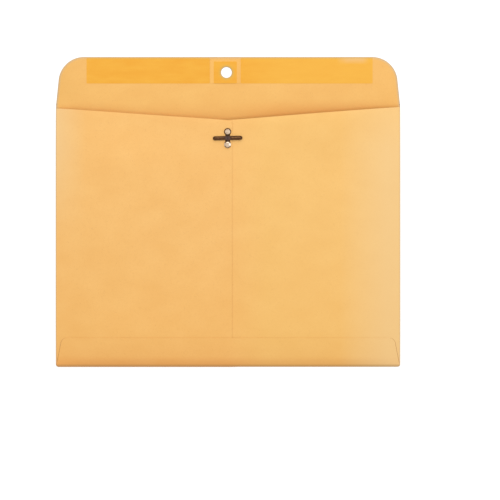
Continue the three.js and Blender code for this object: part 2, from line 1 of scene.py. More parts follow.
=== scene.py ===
# Looks of a kraft clasp envelope that lies on its front panel with the seal flap opened out flat.
# Metres in the frame's axes: +X along the fold, +Y towards the flap's tip, +Z up.

import json
import math

import bpy
import numpy as np
from mathutils import Matrix, Vector
from mathutils.geometry import delaunay_2d_cdt


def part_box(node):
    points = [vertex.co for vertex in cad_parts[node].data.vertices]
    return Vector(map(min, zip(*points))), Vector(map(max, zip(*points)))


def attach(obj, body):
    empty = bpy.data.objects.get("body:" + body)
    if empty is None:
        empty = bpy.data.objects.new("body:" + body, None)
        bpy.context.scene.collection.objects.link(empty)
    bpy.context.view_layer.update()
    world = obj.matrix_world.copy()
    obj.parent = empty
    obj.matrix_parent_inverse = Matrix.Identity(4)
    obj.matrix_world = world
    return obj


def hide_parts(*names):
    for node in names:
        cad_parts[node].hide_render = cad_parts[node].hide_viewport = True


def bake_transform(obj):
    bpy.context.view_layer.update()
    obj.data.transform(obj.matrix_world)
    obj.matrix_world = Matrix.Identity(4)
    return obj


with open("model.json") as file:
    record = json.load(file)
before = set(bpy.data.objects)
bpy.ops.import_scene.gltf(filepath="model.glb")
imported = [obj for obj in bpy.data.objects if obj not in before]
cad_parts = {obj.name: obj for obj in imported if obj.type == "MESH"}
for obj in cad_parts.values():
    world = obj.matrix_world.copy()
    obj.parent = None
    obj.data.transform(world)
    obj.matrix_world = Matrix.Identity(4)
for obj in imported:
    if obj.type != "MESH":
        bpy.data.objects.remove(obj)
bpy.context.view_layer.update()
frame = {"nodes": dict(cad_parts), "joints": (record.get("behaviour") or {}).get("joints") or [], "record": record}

MM = 0.001

# Paper and glue layers
PAPER = 0.16 * MM
GLUE_FILM = 0.06 * MM
GLUE_CLEARANCE = 0.02 * MM
GUM_FILM = 0.06 * MM
PATCH_PAPER = 0.12 * MM
FILM_CLEARANCE = 0.003 * MM

# Puffed shape of the pocket
CREASE_LIFT = 1.6 * MM
BOTTOM_CREASE_LIFT = 0.6 * MM
FOLD_GAP = 0.4 * MM
CROWN_POWER = 2.5
SIDE_CROWN_RUN = 64 * MM
BOTTOM_CROWN_RUN = 45 * MM
BOTTOM_FOLD_RUN = 8 * MM
BOTTOM_FOLD_SHARE = 0.42
FRONT_CURL_RUN = 24 * MM
MOUTH_RUN = 60 * MM
THROAT_DEPTH = 14 * MM
LEFT_THROAT_START = 2.8 * MM
RIGHT_THROAT_START = 1.5 * MM
SEAM_STEP_DOWN = 0.4 * MM
LIP_RUN = 7 * MM
LIP_DROP = 0.25 * MM
GAPE_START = 14 * MM
LEFT_GAPE = -1.8 * MM
RIGHT_GAPE = 1.4 * MM
POCKET_CORNER_RADIUS = 2.6 * MM

# Ripples of the paper
RIPPLE_COUNT = 9
RIPPLE_SEED = 11
RIPPLE_LENGTHS = (55 * MM, 150 * MM)
BACK_RIPPLE = 0.16 * MM
FLAP_RIPPLE = 0.07 * MM
CLASP_CALM = 16 * MM
CALM_FADE = 30 * MM

# Outlines of the flaps and of what is on the seal flap
FLAP_SIDE_SLOPE = math.radians(5.9)
FLAP_CORNER_RADIUS = 23.5 * MM
BOTTOM_FLAP_SLANT = 5 * MM
BOTTOM_FLAP_CORNER_RADIUS = 6 * MM
BOTTOM_FLAP_SETTLE_CLEARANCE = 1 * MM
BOTTOM_FLAP_SETTLE_RUN = 4 * MM
HOLE_RADIUS = 4.9 * MM
GUM_CORNER_RADIUS = 1 * MM
GUM_EDGE_RUN = 0.5 * MM
GUM_EDGE_SHARE = 0.35
FOLD_BAND = 1.5 * MM
FOLD_STEP = 0.125 * MM
EDGE_BEVEL = 0.2 * MM
SEAM_BEVEL = 0.08 * MM
DIE_CUT_BEVEL = 0.5 * MM
CORNER_CLEARANCE = 0.1 * MM
RIM_WIDTH = 2.4 * MM
RIM_FULL = 0.6

# Clasp
METAL_EDGE = 0.07 * MM
PLATE_CLEARANCE = 0.02 * MM
LOBE_RIM_INSET = 0.3 * MM
LOBE_RIM_WIDTH = 0.19 * MM
LOBE_RIM_HEIGHT = 0.35 * MM
PLATE_THICKNESS = 0.3 * MM
WAIST_WIDTH = 4.4 * MM
SLOT_HALF_X = 1.25 * MM
SLOT_HALF_Y = 2.45 * MM
RIVET_SHANK_RADIUS = 1.2 * MM
RIVET_CLEARANCE = 0.12 * MM
RIVET_HEAD_RADIUS = 2.5 * MM
RIVET_HEAD_HEIGHT = 0.95 * MM
RIVET_DIMPLE = (0.45 * MM, 0.95 * MM)
RIVET_DIMPLE_DEPTH = 0.3 * MM
PRONG_WIDTH = 3.7 * MM
PRONG_THICKNESS = 0.3 * MM
PRONG_RIB_WIDTH = 1.3 * MM
PRONG_RIB_HEIGHT = 0.3 * MM
PRONG_RIB_START = 2.2 * MM
PRONG_RIB_TIP_MARGIN = 1.6 * MM
PRONG_RIB_ROUNDNESS = 1.5
PRONG_YAW = math.radians(1.2)
PRONG_ROOT_RADIUS = 0.34 * MM
PRONG_ROOT_FLAT = 0.05 * MM
RIVET_CLINCH_RADIUS = 2 * MM
RIVET_CLINCH_THICKNESS = 0.15 * MM

# Mesh fineness
PANEL_STEP = 3 * MM
EDGE_STEP = 0.35 * MM
EDGE_GROWTH = 1.22
ROLL_STEPS = 12
LIP_ROWS = 9
ARC_STEP = math.radians(3)
FILM_STEP = 2 * MM
FILM_EDGE_STEP = 0.2 * MM
FILM_OUTLINE_STEP = 1.5 * MM
METAL_STEP = 0.14 * MM
DOME_POINTS = 24
LATHE_STEPS = 96
SHARP_ANGLE = math.radians(40)
OUTLINE_MARGIN = 0.35  # of the outline's step, free of inner points
INSET_MARGIN = 0.98  # of the rim's width, free of other points
TRIANGLES_INSIDE = 1
MERGE_DISTANCE = 1e-6

# Camera, at the photograph's scale: straight above, on a long lens
VIEW_WIDTH = 461.5 * MM
VIEW_CENTRE = (20.26 * MM, -12.81 * MM)
LENS = 110
SENSOR = 36
VIEW_REACH = 20

# Floor and light. A lamp has its name, place, size and power.
FLOOR_HALF = 2.5
FLOOR_DROP = 0.02 * MM
FLOOR_PAINT = (0.86, 0.86, 0.86, 1)
FLOOR_SEEN_PAINT = (0.34, 0.34, 0.34, 1)
FLOOR_GLOW = 0.8
WHITE = (1, 1, 1, 1)
WORLD_LIGHT = 0.8
TOP_LIGHT = ("light_beyond_the_flap", (0.1, 1.3, 0.5), 0.9, 9.5)
SIDE_LIGHT = ("light_at_the_right", (1.3, 0.0, 0.6), 0.7, 1.0)

# Grain of the materials: scales of their noise along X, Y and Z, the values of it between which a
# feature comes in, and its greatest share
BROAD_RANGE = (0.3, 0.7)
CLOUD_SCALES = (38, 55, 40)
FLECK_SCALES = (420, 520, 400)
FLECK_RANGE = (0.35, 0.75)
FLECK_SHARE = 0.28
FIBRE_SCALES = (300, 3400, 300)
FIBRE_RANGE = (0.68, 0.8)
FIBRE_SHARE = 0.38
FIBRE_RELIEF = 0.5
FIBRE_TURNS = (0.15, 0.8, 1.35, 2.0, 2.7)
FIBRE_BEND = 0.6
POOL_SCALES = (50, 150, 60)
STREAK_SCALES = (30, 900, 60)
STREAK_RANGE = (0.45, 0.75)
STREAK_SHARE = 0.4
ROLLING_SCALES = (400, 9000, 900)
DULL_SCALES = (700, 700, 700)
DULL_RANGE = (0.4, 0.7)

# Finish of the materials: scales and height of their tooth, strength of the bump, and roughness
PAPER_TOOTH_SCALES = (1900, 1900, 1900)
PAPER_TOOTH = 0.03 * MM
PAPER_ROUGHNESS = (0.74, 0.86)
PAPER_GLOSS = 0.35
GUM_TOOTH_SCALES = (1300, 1600, 1300)
GUM_TOOTH = 0.02 * MM
GUM_ROUGHNESS = (0.3, 0.46)
SOFT_BUMP = 0.5
TIN_MARKS = 0.01 * MM
TIN_BUMP = 0.4
TIN_ROUGHNESS_RANGE = (0.35, 0.7)
RIVET_ROUGHNESS = (0.3, 0.44)
PRONG_ROUGHNESS = (0.28, 0.42)
PLATE_ROUGHNESS = (0.3, 0.45)

# Shades in sRGB, from 0 to 255: paper with its clouds and fibres, gum and thicker gum, tin and its
# duller patches, and then those of wear, age and handling and of painted light, shade, sheen and
# highlights
KRAFT_OUTSIDE = ((252, 197, 119), (248, 190, 111), (216, 151, 84))
KRAFT_INSIDE = ((249, 193, 110), (245, 186, 103), (210, 146, 78))
KRAFT_CUT = ((206, 152, 92), (190, 136, 80), (170, 118, 68))
KRAFT_DIE_CUT = ((208, 174, 130), (194, 160, 118), (174, 142, 102))
PATCH_SHADES = ((250, 191, 102), (247, 185, 97), (214, 150, 84))
GUM_SHADES = ((247, 179, 52), (243, 169, 40))
GLUE_SHADES = ((232, 205, 150), (222, 192, 134))
BRIGHT_TIN = ((226, 202, 176), (200, 174, 146))
# Prong and plate tin: dark shades that stand for a painted reflection of a dark room in the tin
PRONG_TIN_PAINTED_REFLECTION = ((94, 65, 43), (74, 50, 32))
PLATE_TIN_PAINTED_REFLECTION = ((110, 82, 56), (78, 56, 38))
DEEPER_AND_SHADED = (246, 174, 70)
RUBBED_AND_SHADED = (238, 155, 77)
PAINTED_SHEEN = (246, 209, 151)
PAINTED_LIGHT = (249, 211, 120)
SOILED_AND_SHADED = (196, 164, 128)
CREASE_SHADOW = (150, 122, 84)
MOUTH_SHADE = (239, 168, 86)
DARKER = (232, 176, 94)
LIP_SHADOW = (180, 126, 46)
# Darker near the flap's cut edges: handling and painted edge shade
HANDLED_AND_SHADED = (217, 182, 133)
HANDLED_AND_SHADED_SHARE = 0.62
PALE_GUM = (248, 186, 66)
GUM_HIGHLIGHT = (244, 193, 124)
HANDLED_AND_SHADED_GUM = (215, 176, 90)
HOLE_RIM_SHADE = (215, 176, 80)
RIVET_TOP_SHADE = (110, 78, 44)
GLINT = (255, 246, 232)
TIN_HIGHLIGHT = (250, 240, 225)
PRONG_ROOT_SHEEN = (96, 78, 74)
WAIST_SHADE = (50, 38, 26)

# Places that the frame gives
joints = {joint["name"]: joint for joint in frame["joints"]}
fold_y, fold_z = joints["seal_flap_fold"]["pos_m"][1:]
front_low, front_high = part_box("front_panel")
left_edge, right_edge, bottom_edge = front_low.x, front_high.x, front_low.y
left_low, left_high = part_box("left_back_panel")
right_low, right_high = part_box("right_back_panel")
bottom_low, bottom_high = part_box("bottom_flap")
flap_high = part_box("seal_flap")[1]
plate_low, plate_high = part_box("clasp_plate")
half_width = (right_high.x - left_low.x) / 2
bottom_y = bottom_low.y
seam_x = left_high.x
clasp_x = (plate_low.x + plate_high.x) / 2
clasp_y = (plate_low.y + plate_high.y) / 2
lobe_radius = (plate_high.x - plate_low.x) / 2
lobe_ys = (plate_high.y - lobe_radius, plate_low.y + lobe_radius)
layer_step = PAPER + GLUE_FILM + 2 * GLUE_CLEARANCE
pocket_top = plate_low.z - PLATE_CLEARANCE - layer_step - PAPER
openings = {opening["name"]: opening for opening in frame["record"]["physics"]["openings"]}
hole_box = openings["clasp_hole"]["box_m"]
hole_x = (hole_box[0][0] + hole_box[1][0]) / 2
hole_y = (hole_box[0][1] + hole_box[1][1]) / 2


# Shape of the puffed pocket, as functions of the place on the sheet


def ease_out(distance, run, power):
    return 1 - (1 - np.clip(distance / run, 0, 1)) ** power


def smooth_step(distance, run):
    share = np.clip(distance / run, 0, 1)
    return share * share * (3 - 2 * share)


def side_distance(x):
    return np.minimum(x - left_edge, right_edge - x)


def crease_lift(y):
    rise = ease_out(y - bottom_edge, MOUTH_RUN, 2)
    lift = BOTTOM_CREASE_LIFT + (CREASE_LIFT - BOTTOM_CREASE_LIFT) * rise
    return lift * ease_out(fold_y - y, MOUTH_RUN, 2)


def throat_y(x):
    towards_middle = 1 - np.minimum(np.abs(x) / half_width, 1)
    start = np.where(x < 0, LEFT_THROAT_START, RIGHT_THROAT_START)
    return fold_y - start - (THROAT_DEPTH - start) * towards_middle


# Rise of the back from the bottom crease: a tight fold and then a long, shallow curve
def bottom_crown(y):
    from_bottom = y - bottom_edge
    tight = ease_out(from_bottom, BOTTOM_FOLD_RUN, 2)
    shallow = ease_out(from_bottom, BOTTOM_CROWN_RUN, CROWN_POWER)
    return shallow + BOTTOM_FOLD_SHARE * (tight - shallow)


# Sum of a few long waves in random directions, between about -1 and 1
def ripples(x, y):
    rng = np.random.default_rng(RIPPLE_SEED)
    total = 0
    for _ in range(RIPPLE_COUNT):
        angle = rng.uniform(0, math.tau)
        phase = rng.uniform(0, math.tau)
        wave = math.tau / rng.uniform(*RIPPLE_LENGTHS)
        total = total + np.sin(wave * (x * math.cos(angle) + y * math.sin(angle)) + phase)
    return total * math.sqrt(2 / RIPPLE_COUNT) / 2


# The back panels' mouth stands a little more open to either side of the clasp
def gape(x, y):
    towards_fold = smooth_step(y - fold_y + MOUTH_RUN, MOUTH_RUN - THROAT_DEPTH)
    share = np.clip((np.abs(x) - GAPE_START) / (half_width - GAPE_START), 0, 1)
    return np.where(x < 0, LEFT_GAPE, RIGHT_GAPE) * towards_fold * np.sin(math.pi * share) ** 2


# Sheets that the bottom flap lies on: one less past the seam, where it settles over a short run
def layers_under_flap(x):
    return 2 - np.clip((x - seam_x - BOTTOM_FLAP_SETTLE_CLEARANCE) / BOTTOM_FLAP_SETTLE_RUN, 0, 1)


# Lower face of the front panel and of the seal flap
def front_underside(x, y):
    from_side = ease_out(side_distance(x), FRONT_CURL_RUN, 2)
    from_bottom = ease_out(y - bottom_edge, FRONT_CURL_RUN, 2)
    lift = crease_lift(y) * (1 - from_side * from_bottom)
    on_flap = smooth_step(y - fold_y - FOLD_BAND, CALM_FADE)
    return lift + FLAP_RIPPLE * (1 + ripples(x, y)) * on_flap


# Lower face of a back sheet that lies on no other one
def back_inner_face(x, y):
    crease = crease_lift(y) + PAPER + FOLD_GAP
    from_side = ease_out(side_distance(x), SIDE_CROWN_RUN, CROWN_POWER)
    crown = from_side * bottom_crown(y)
    calm = smooth_step(np.hypot(x - clasp_x, y - clasp_y) - CLASP_CALM, CALM_FADE)
    drop = LIP_DROP * (1 - ease_out(throat_y(x) - y, LIP_RUN, 2))
    unevenness = BACK_RIPPLE * ripples(x, y) * calm + gape(x, y) - drop
    return crease + (pocket_top - crease + unevenness) * crown


# Stations along a line: fine at both ends and coarser in between
def crowded(low, high, step=PANEL_STEP, fine=EDGE_STEP):
    offsets = [0]
    gap = fine
    while gap < step and offsets[-1] < (high - low) / 2:
        offsets.append(offsets[-1] + gap)
        gap *= EDGE_GROWTH
    middle = high - low - 2 * offsets[-1]
    if middle <= 0:
        return np.linspace(low, high, len(offsets) * 2)
    count = max(math.ceil(middle / step), 1)
    inner = np.linspace(low + offsets[-1], high - offsets[-1], count + 1)
    ends = np.array(offsets[:-1])
    return np.concatenate([low + ends, inner, high - ends[::-1]])


# Stations with two more at the ends of a stretch, and none too close to those two
def with_ends(stations, low, high):
    clear = np.minimum(np.abs(stations - low), np.abs(stations - high)) > EDGE_STEP
    joined = np.sort(np.concatenate([stations[clear], [low, high]]))
    return joined, (int(np.searchsorted(joined, low)), int(np.searchsorted(joined, high)))


# Meshes


def new_object(name, data):
    thing = bpy.data.objects.new(name, data)
    bpy.context.scene.collection.objects.link(thing)
    return thing


def new_piece(name, points, faces, kinds, materials):
    mesh = bpy.data.meshes.new(name)
    mesh.from_pydata(points.tolist(), [], faces)
    mesh.polygons.foreach_set("material_index", kinds)
    mesh.polygons.foreach_set("use_smooth", np.ones(len(faces), bool))
    mesh.set_sharp_from_angle(angle=SHARP_ANGLE)
    rest = mesh.attributes.new("rest", "FLOAT_VECTOR", "POINT")
    rest.data.foreach_set("vector", points.astype(np.float32).ravel())
    mesh.validate()
    mesh.update()
    for material in materials:
        mesh.materials.append(material)
    return new_object(name, mesh)


# A sheet on a grid of points. inner and outer hold its two faces, as columns by rows by 3.
# materials are those of the outer face, of the inner face and of the cut edges. gap is the range
# of columns and the range of rows of an opening.
def grid_sheet(name, inner, outer, materials, gap=None):
    columns, rows = inner.shape[:2]
    under = np.arange(columns * rows).reshape(columns, rows)
    over = under + columns * rows
    kept = np.ones((columns - 1, rows - 1), bool)

    def quads(*corners):
        return np.stack([corner.ravel() for corner in corners], 1)

    def wall_along_x(lower, upper, row):
        return quads(lower[:-1, row], lower[1:, row], upper[1:, row], upper[:-1, row])

    def wall_along_y(lower, upper, column):
        return quads(lower[column, :-1], lower[column, 1:], upper[column, 1:], upper[column, :-1])

    walls = [
        wall_along_x(under, over, 0),
        wall_along_x(over, under, -1),
        wall_along_y(over, under, 0),
        wall_along_y(under, over, -1),
    ]
    if gap:
        (first, last), (low, high) = gap
        kept[first:last, low:high] = False
        below = under[first : last + 1, low : high + 1]
        above = over[first : last + 1, low : high + 1]
        walls += [
            wall_along_x(above, below, 0),
            wall_along_x(below, above, -1),
            wall_along_y(below, above, 0),
            wall_along_y(above, below, -1),
        ]
    top = quads(over[:-1, :-1], over[1:, :-1], over[1:, 1:], over[:-1, 1:])[kept.ravel()]
    base = quads(under[:-1, :-1], under[:-1, 1:], under[1:, 1:], under[1:, :-1])[kept.ravel()]
    edge = np.concatenate(walls)
    faces = np.concatenate([top, base, edge]).tolist()
    kinds = np.repeat([0, 1, 2], [len(top), len(base), len(edge)]).astype(np.int32)
    points = np.concatenate([inner.reshape(-1, 3), outer.reshape(-1, 3)])
    return new_piece(name, points, faces, kinds, materials)


def edge_distance(points, loops):
    nearest = np.full(len(points), np.inf)
    for loop in loops:
        for a, b in zip(loop, np.roll(loop, -1, axis=0)):
            side = b - a
            share = np.clip((points - a) @ side / (side @ side), 0, 1)
            gap = points - a - share[:, None] * side
            nearest = np.minimum(nearest, np.hypot(gap[:, 0], gap[:, 1]))
    return nearest


def inside_loops(points, loops):
    odd = np.zeros(len(points), bool)
    for loop in loops:
        for a, b in zip(loop, np.roll(loop, -1, axis=0)):
            spans = (a[1] > points[:, 1]) != (b[1] > points[:, 1])
            slope = (b[0] - a[0]) / (b[1] - a[1] if b[1] != a[1] else 1)
            odd ^= spans & (points[:, 0] < a[0] + slope * (points[:, 1] - a[1]))
    return odd


# Steps from the points of the loops into the sheet: to the left of the first loop, which is the
# outline, and to the right of the holes
def inward_steps(loops):
    steps = []
    for index, loop in enumerate(loops):
        x, y = (np.roll(loop, -1, axis=0) - np.roll(loop, 1, axis=0)).T
        aside = np.column_stack([-y, x]) / np.hypot(x, y)[:, None]
        steps.append(aside if index == 0 else -aside)
    return np.concatenate(steps)


# A sheet with any outline and holes. xs and ys are the stations of its inner points, and
# faces_at(x, y, distance from the edge) gives the heights of its lower and upper face. The edges
# of the upper face lie inward by one bevel for each loop. The attribute "rim" goes from 1 at the
# edge to 0 at the rim's width from it. Between the two rows of fold_rows the inner points go right
# up to the edge.
def outline_sheet(
    name, loops, xs, ys, faces_at, materials, bevels=None, rim=0, fold_rows=(math.inf, -math.inf)
):
    def in_fold(points):
        y = points[:, 1]
        return (y > fold_rows[0] - FOLD_STEP / 2) & (y < fold_rows[1] + FOLD_STEP / 2)

    gridded = np.stack(np.meshgrid(xs, ys, indexing="ij"), -1).reshape(-1, 2)
    gridded = gridded[inside_loops(gridded, loops)]
    step_x, step_y = np.diff(loops[0], axis=0).T
    margin = rim + OUTLINE_MARGIN * np.median(np.hypot(step_x, step_y))
    margins = np.where(in_fold(gridded), FOLD_STEP, margin)
    gridded = gridded[edge_distance(gridded, loops) > margins]
    if rim:
        inset = np.concatenate(loops) + inward_steps(loops) * rim
        inset = inset[inside_loops(inset, loops) & ~in_fold(inset)]
        inset = inset[edge_distance(inset, loops) > INSET_MARGIN * rim]
        gridded = np.concatenate([inset, gridded])
    spots = np.concatenate([*loops, gridded])
    links = []
    start = 0
    for loop in loops:
        links += [(start + i, start + (i + 1) % len(loop)) for i in range(len(loop))]
        start += len(loop)
    flat, _links, triangles, origins = delaunay_2d_cdt(
        [Vector(spot) for spot in spots / MM], links, [], TRIANGLES_INSIDE, MERGE_DISTANCE
    )[:4]
    flat = np.array([tuple(spot) for spot in flat]) * MM
    triangles = np.array(triangles)
    triangles = triangles[inside_loops(flat[triangles].mean(1), loops)]
    distance = edge_distance(flat, loops)
    low, high = faces_at(flat[:, 0], flat[:, 1], distance)
    upper = flat.copy()
    if bevels:
        steps = inward_steps(loops) * np.repeat(bevels, [len(loop) for loop in loops])[:, None]
        for place, sources in enumerate(origins):
            if sources and sources[0] < len(steps):
                upper[place] += steps[sources[0]]
    points = np.concatenate([np.column_stack([flat, low]), np.column_stack([upper, high])])
    count = len(flat)
    sides = np.concatenate([triangles[:, [0, 1]], triangles[:, [1, 2]], triangles[:, [2, 0]]])
    known = {tuple(side) for side in sides.tolist()}
    border = [(a, b) for a, b in sides.tolist() if (b, a) not in known]
    walls = [[a, b, b + count, a + count] for a, b in border]
    faces = (triangles + count).tolist() + triangles[:, ::-1].tolist() + walls
    kinds = np.repeat([0, 1, 2], [len(triangles), len(triangles), len(walls)]).astype(np.int32)
    piece = new_piece(name, points, faces, kinds, materials)
    if rim:
        nearness = np.tile(1 - np.clip(distance / rim, 0, 1), 2).astype(np.float32)
        piece.data.attributes.new("rim", "FLOAT", "POINT").data.foreach_set("value", nearness)
    return piece


# A turned piece. profile holds the distance from the axis and the height, from the lower end of
# the axis to its upper end.
def lathe(name, profile, x, y, material):
    turns = np.arange(LATHE_STEPS) * math.tau / LATHE_STEPS
    rings = profile[1:-1]
    points = [(x, y, profile[0][1])]
    for radius, height in rings:
        points += [(x + radius * math.cos(t), y + radius * math.sin(t), height) for t in turns]
    points.append((x, y, profile[-1][1]))
    last = len(points) - 1
    faces = []
    for k in range(LATHE_STEPS):
        after = (k + 1) % LATHE_STEPS
        faces.append([0, 1 + after, 1 + k])
        for ring in range(len(rings) - 1):
            low = 1 + ring * LATHE_STEPS
            high = low + LATHE_STEPS
            faces.append([low + k, low + after, high + after, high + k])
        top = 1 + (len(rings) - 1) * LATHE_STEPS
        faces.append([top + k, top + after, last])
    kinds = np.zeros(len(faces), np.int32)
    return new_piece(name, np.array(points), faces, kinds, [material])


def dress(piece, body, slot, *nodes):
    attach(piece, body)
    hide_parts(*nodes)


# Outlines, counter-clockwise


def arc(x, y, radius, start, end):
    count = max(math.ceil(abs(end - start) / ARC_STEP), 2)
    turns = np.linspace(start, end, count + 1)
    return np.column_stack([x + radius * np.cos(turns), y + radius * np.sin(turns)])


def line(start, end, step):
    count = max(math.ceil(math.dist(start, end) / step), 1)
    shares = np.linspace(0, 1, count + 1)[1:-1, None]
    return np.array(start) + shares * (np.array(end) - np.array(start))


# A run of points through corners, with points between them
def stretch_through(corners, step):
    run = [np.array([corners[0]])]
    for here, after in zip(corners, corners[1:]):
        run += [line(here, after, step), np.array([after])]
    return np.concatenate(run)


# Joins stretches of points, with straight runs between them, into one closed outline
def closed(stretches, step=PANEL_STEP):
    outline = []
    for here, after in zip(stretches, stretches[1:] + stretches[:1]):
        outline += [here, line(here[-1], after[0], step)]
    return np.concatenate(outline)


def rounded_rectangle(low_x, low_y, high_x, high_y, radius, step):
    left, right, low, high = low_x + radius, high_x - radius, low_y + radius, high_y - radius
    arcs = []
    for quarter, (x, y) in enumerate([(right, low), (right, high), (left, high), (left, low)]):
        arcs.append(arc(x, y, radius, (quarter - 1) * math.pi / 2, quarter * math.pi / 2))
    return closed(arcs, step)


def circle(x, y, radius):
    return arc(x, y, radius, 0, math.tau)[:-1]


# Front panel and seal flap, which are one sheet
def front_outline():
    corner = POCKET_CORNER_RADIUS
    corner_x = half_width - corner
    corner_y = bottom_y + corner
    low_turn = math.asin((corner_y - bottom_edge) / corner)
    left_turn = math.acos((-corner_x - left_edge) / corner)
    right_turn = math.acos((right_edge - corner_x) / corner)
    flap_radius = FLAP_CORNER_RADIUS
    centre_y = flap_high.y - flap_radius
    lean = (centre_y - fold_y) * math.tan(FLAP_SIDE_SLOPE)
    centre_x = half_width - lean - flap_radius / math.cos(FLAP_SIDE_SLOPE)
    quarter = math.pi / 2
    left_start = fold_y - LEFT_THROAT_START + CORNER_CLEARANCE
    right_start = fold_y - RIGHT_THROAT_START + CORNER_CLEARANCE
    past_fold = (half_width - FOLD_BAND * math.tan(FLAP_SIDE_SLOPE), fold_y + FOLD_BAND)
    right_bend, left_bend = (
        stretch_through([(half_width, start), (half_width, fold_y), past_fold], FOLD_STEP)
        for start in (right_start, left_start)
    )
    left_bend = (left_bend * (-1, 1))[::-1]
    return closed(
        [
            arc(corner_x, corner_y, corner, -low_turn, -right_turn),
            np.concatenate([[(right_edge, right_start)], right_bend]),
            arc(centre_x, centre_y, flap_radius, FLAP_SIDE_SLOPE, quarter),
            arc(-centre_x, centre_y, flap_radius, quarter, math.pi - FLAP_SIDE_SLOPE),
            np.concatenate([left_bend, [(left_edge, left_start)]]),
            arc(-corner_x, corner_y, corner, math.pi + left_turn, math.pi + low_turn),
        ]
    )


def front_sheet(outside, inside, cut):
    band_low, band_high = fold_y - FOLD_BAND, fold_y + FOLD_BAND
    fold_rows = np.linspace(band_low, band_high, round(2 * FOLD_BAND / FOLD_STEP) + 1)
    below, above = crowded(bottom_edge, band_low), crowded(band_high, flap_high.y)
    ys = np.concatenate([below[:-1], fold_rows, above[1:]])
    xs = crowded(-half_width, half_width)

    def faces_at(x, y, _distance):
        low = front_underside(np.clip(x, left_edge, right_edge), y)
        return low, low + PAPER

    piece = outline_sheet(
        "front_sheet_and_flap",
        [front_outline(), circle(hole_x, hole_y, HOLE_RADIUS)],
        xs,
        ys,
        faces_at,
        [inside, outside, cut],
        bevels=[DIE_CUT_BEVEL] * 2,
        rim=RIM_WIDTH,
        fold_rows=(band_low, band_high),
    )
    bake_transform(piece)
    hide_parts("front_panel", "seal_flap")


# Height of the rounded bottom corners over the bottom, along the width
def corner_rise(x):
    radius = POCKET_CORNER_RADIUS
    inward = np.clip(radius - half_width + np.abs(x), 0, radius)
    return radius - np.sqrt(radius**2 - inward**2)


# A back panel with the rolled fold at its side. side is -1 for the left panel and 1 for the
# right one, layer counts the sheets under it, and free_x is its edge at the seam.
def back_panel(name, node, side, layer, free_x, throat_at, materials):
    step = layer * layer_step
    edge_x = left_edge if side < 0 else right_edge
    outer_radius = (FOLD_GAP + step) / 2 + PAPER
    inner_radius = outer_radius - PAPER
    stations = crowded(min(edge_x, free_x), max(edge_x, free_x))
    stations, gap_columns = with_ends(stations, clasp_x - SLOT_HALF_X, clasp_x + SLOT_HALF_X)
    turns = np.linspace(-math.pi / 2, math.pi / 2, ROLL_STEPS + 1)[:-1]
    flat_turns = np.full(len(stations), math.pi / 2)
    xs = np.concatenate([np.full(ROLL_STEPS, edge_x), stations])
    angles = np.concatenate([turns, flat_turns])
    if side > 0:
        xs = np.concatenate([stations, np.full(ROLL_STEPS, edge_x)])
        angles = np.concatenate([flat_turns, turns[::-1]])
    else:
        gap_columns = [column + ROLL_STEPS for column in gap_columns]
    lip_start = fold_y - THROAT_DEPTH - LIP_RUN
    fixed = crowded(bottom_edge, lip_start)
    fixed, gap_rows = with_ends(fixed, clasp_y - SLOT_HALF_Y, clasp_y + SLOT_HALF_Y)
    rolled_x = xs + side * outer_radius * np.cos(angles)
    rise = np.maximum(bottom_y + corner_rise(rolled_x) - bottom_edge, 0)
    span = lip_start - bottom_edge
    rows = [y + rise * (lip_start - y) / span for y in fixed]
    lip_end = throat_at(xs)
    rows += [lip_start + (lip_end - lip_start) * k / LIP_ROWS for k in range(1, LIP_ROWS + 1)]
    ys = np.stack(rows, 1)
    grid_x = np.repeat(xs[:, None], ys.shape[1], 1)
    base = back_inner_face(grid_x, ys) + step
    cosine = np.cos(angles)[:, None]
    sine = np.sin(angles)[:, None]

    def face(radius):
        x = grid_x + side * radius * cosine
        z = base - inner_radius + radius * sine
        return np.stack([x, ys, z], -1)

    inner, outer = face(inner_radius), face(outer_radius)
    outer[-1 if side < 0 else 0, :, 0] += side * SEAM_BEVEL
    piece = grid_sheet(name, inner, outer, materials, (gap_columns, gap_rows))
    dress(piece, "pocket", "kraft_paper", node)


def back_panels(outside, inside, cut):
    def left_throat(x):
        flat = throat_y(np.array(0.0)) - SEAM_STEP_DOWN
        return np.where(x > -left_high.x, flat, throat_y(x))

    materials = [outside, inside, cut]
    back_panel("right_back_sheet", "right_back_panel", 1, 0, right_low.x, throat_y, materials)
    back_panel("left_back_sheet", "left_back_panel", -1, 1, left_high.x, left_throat, materials)


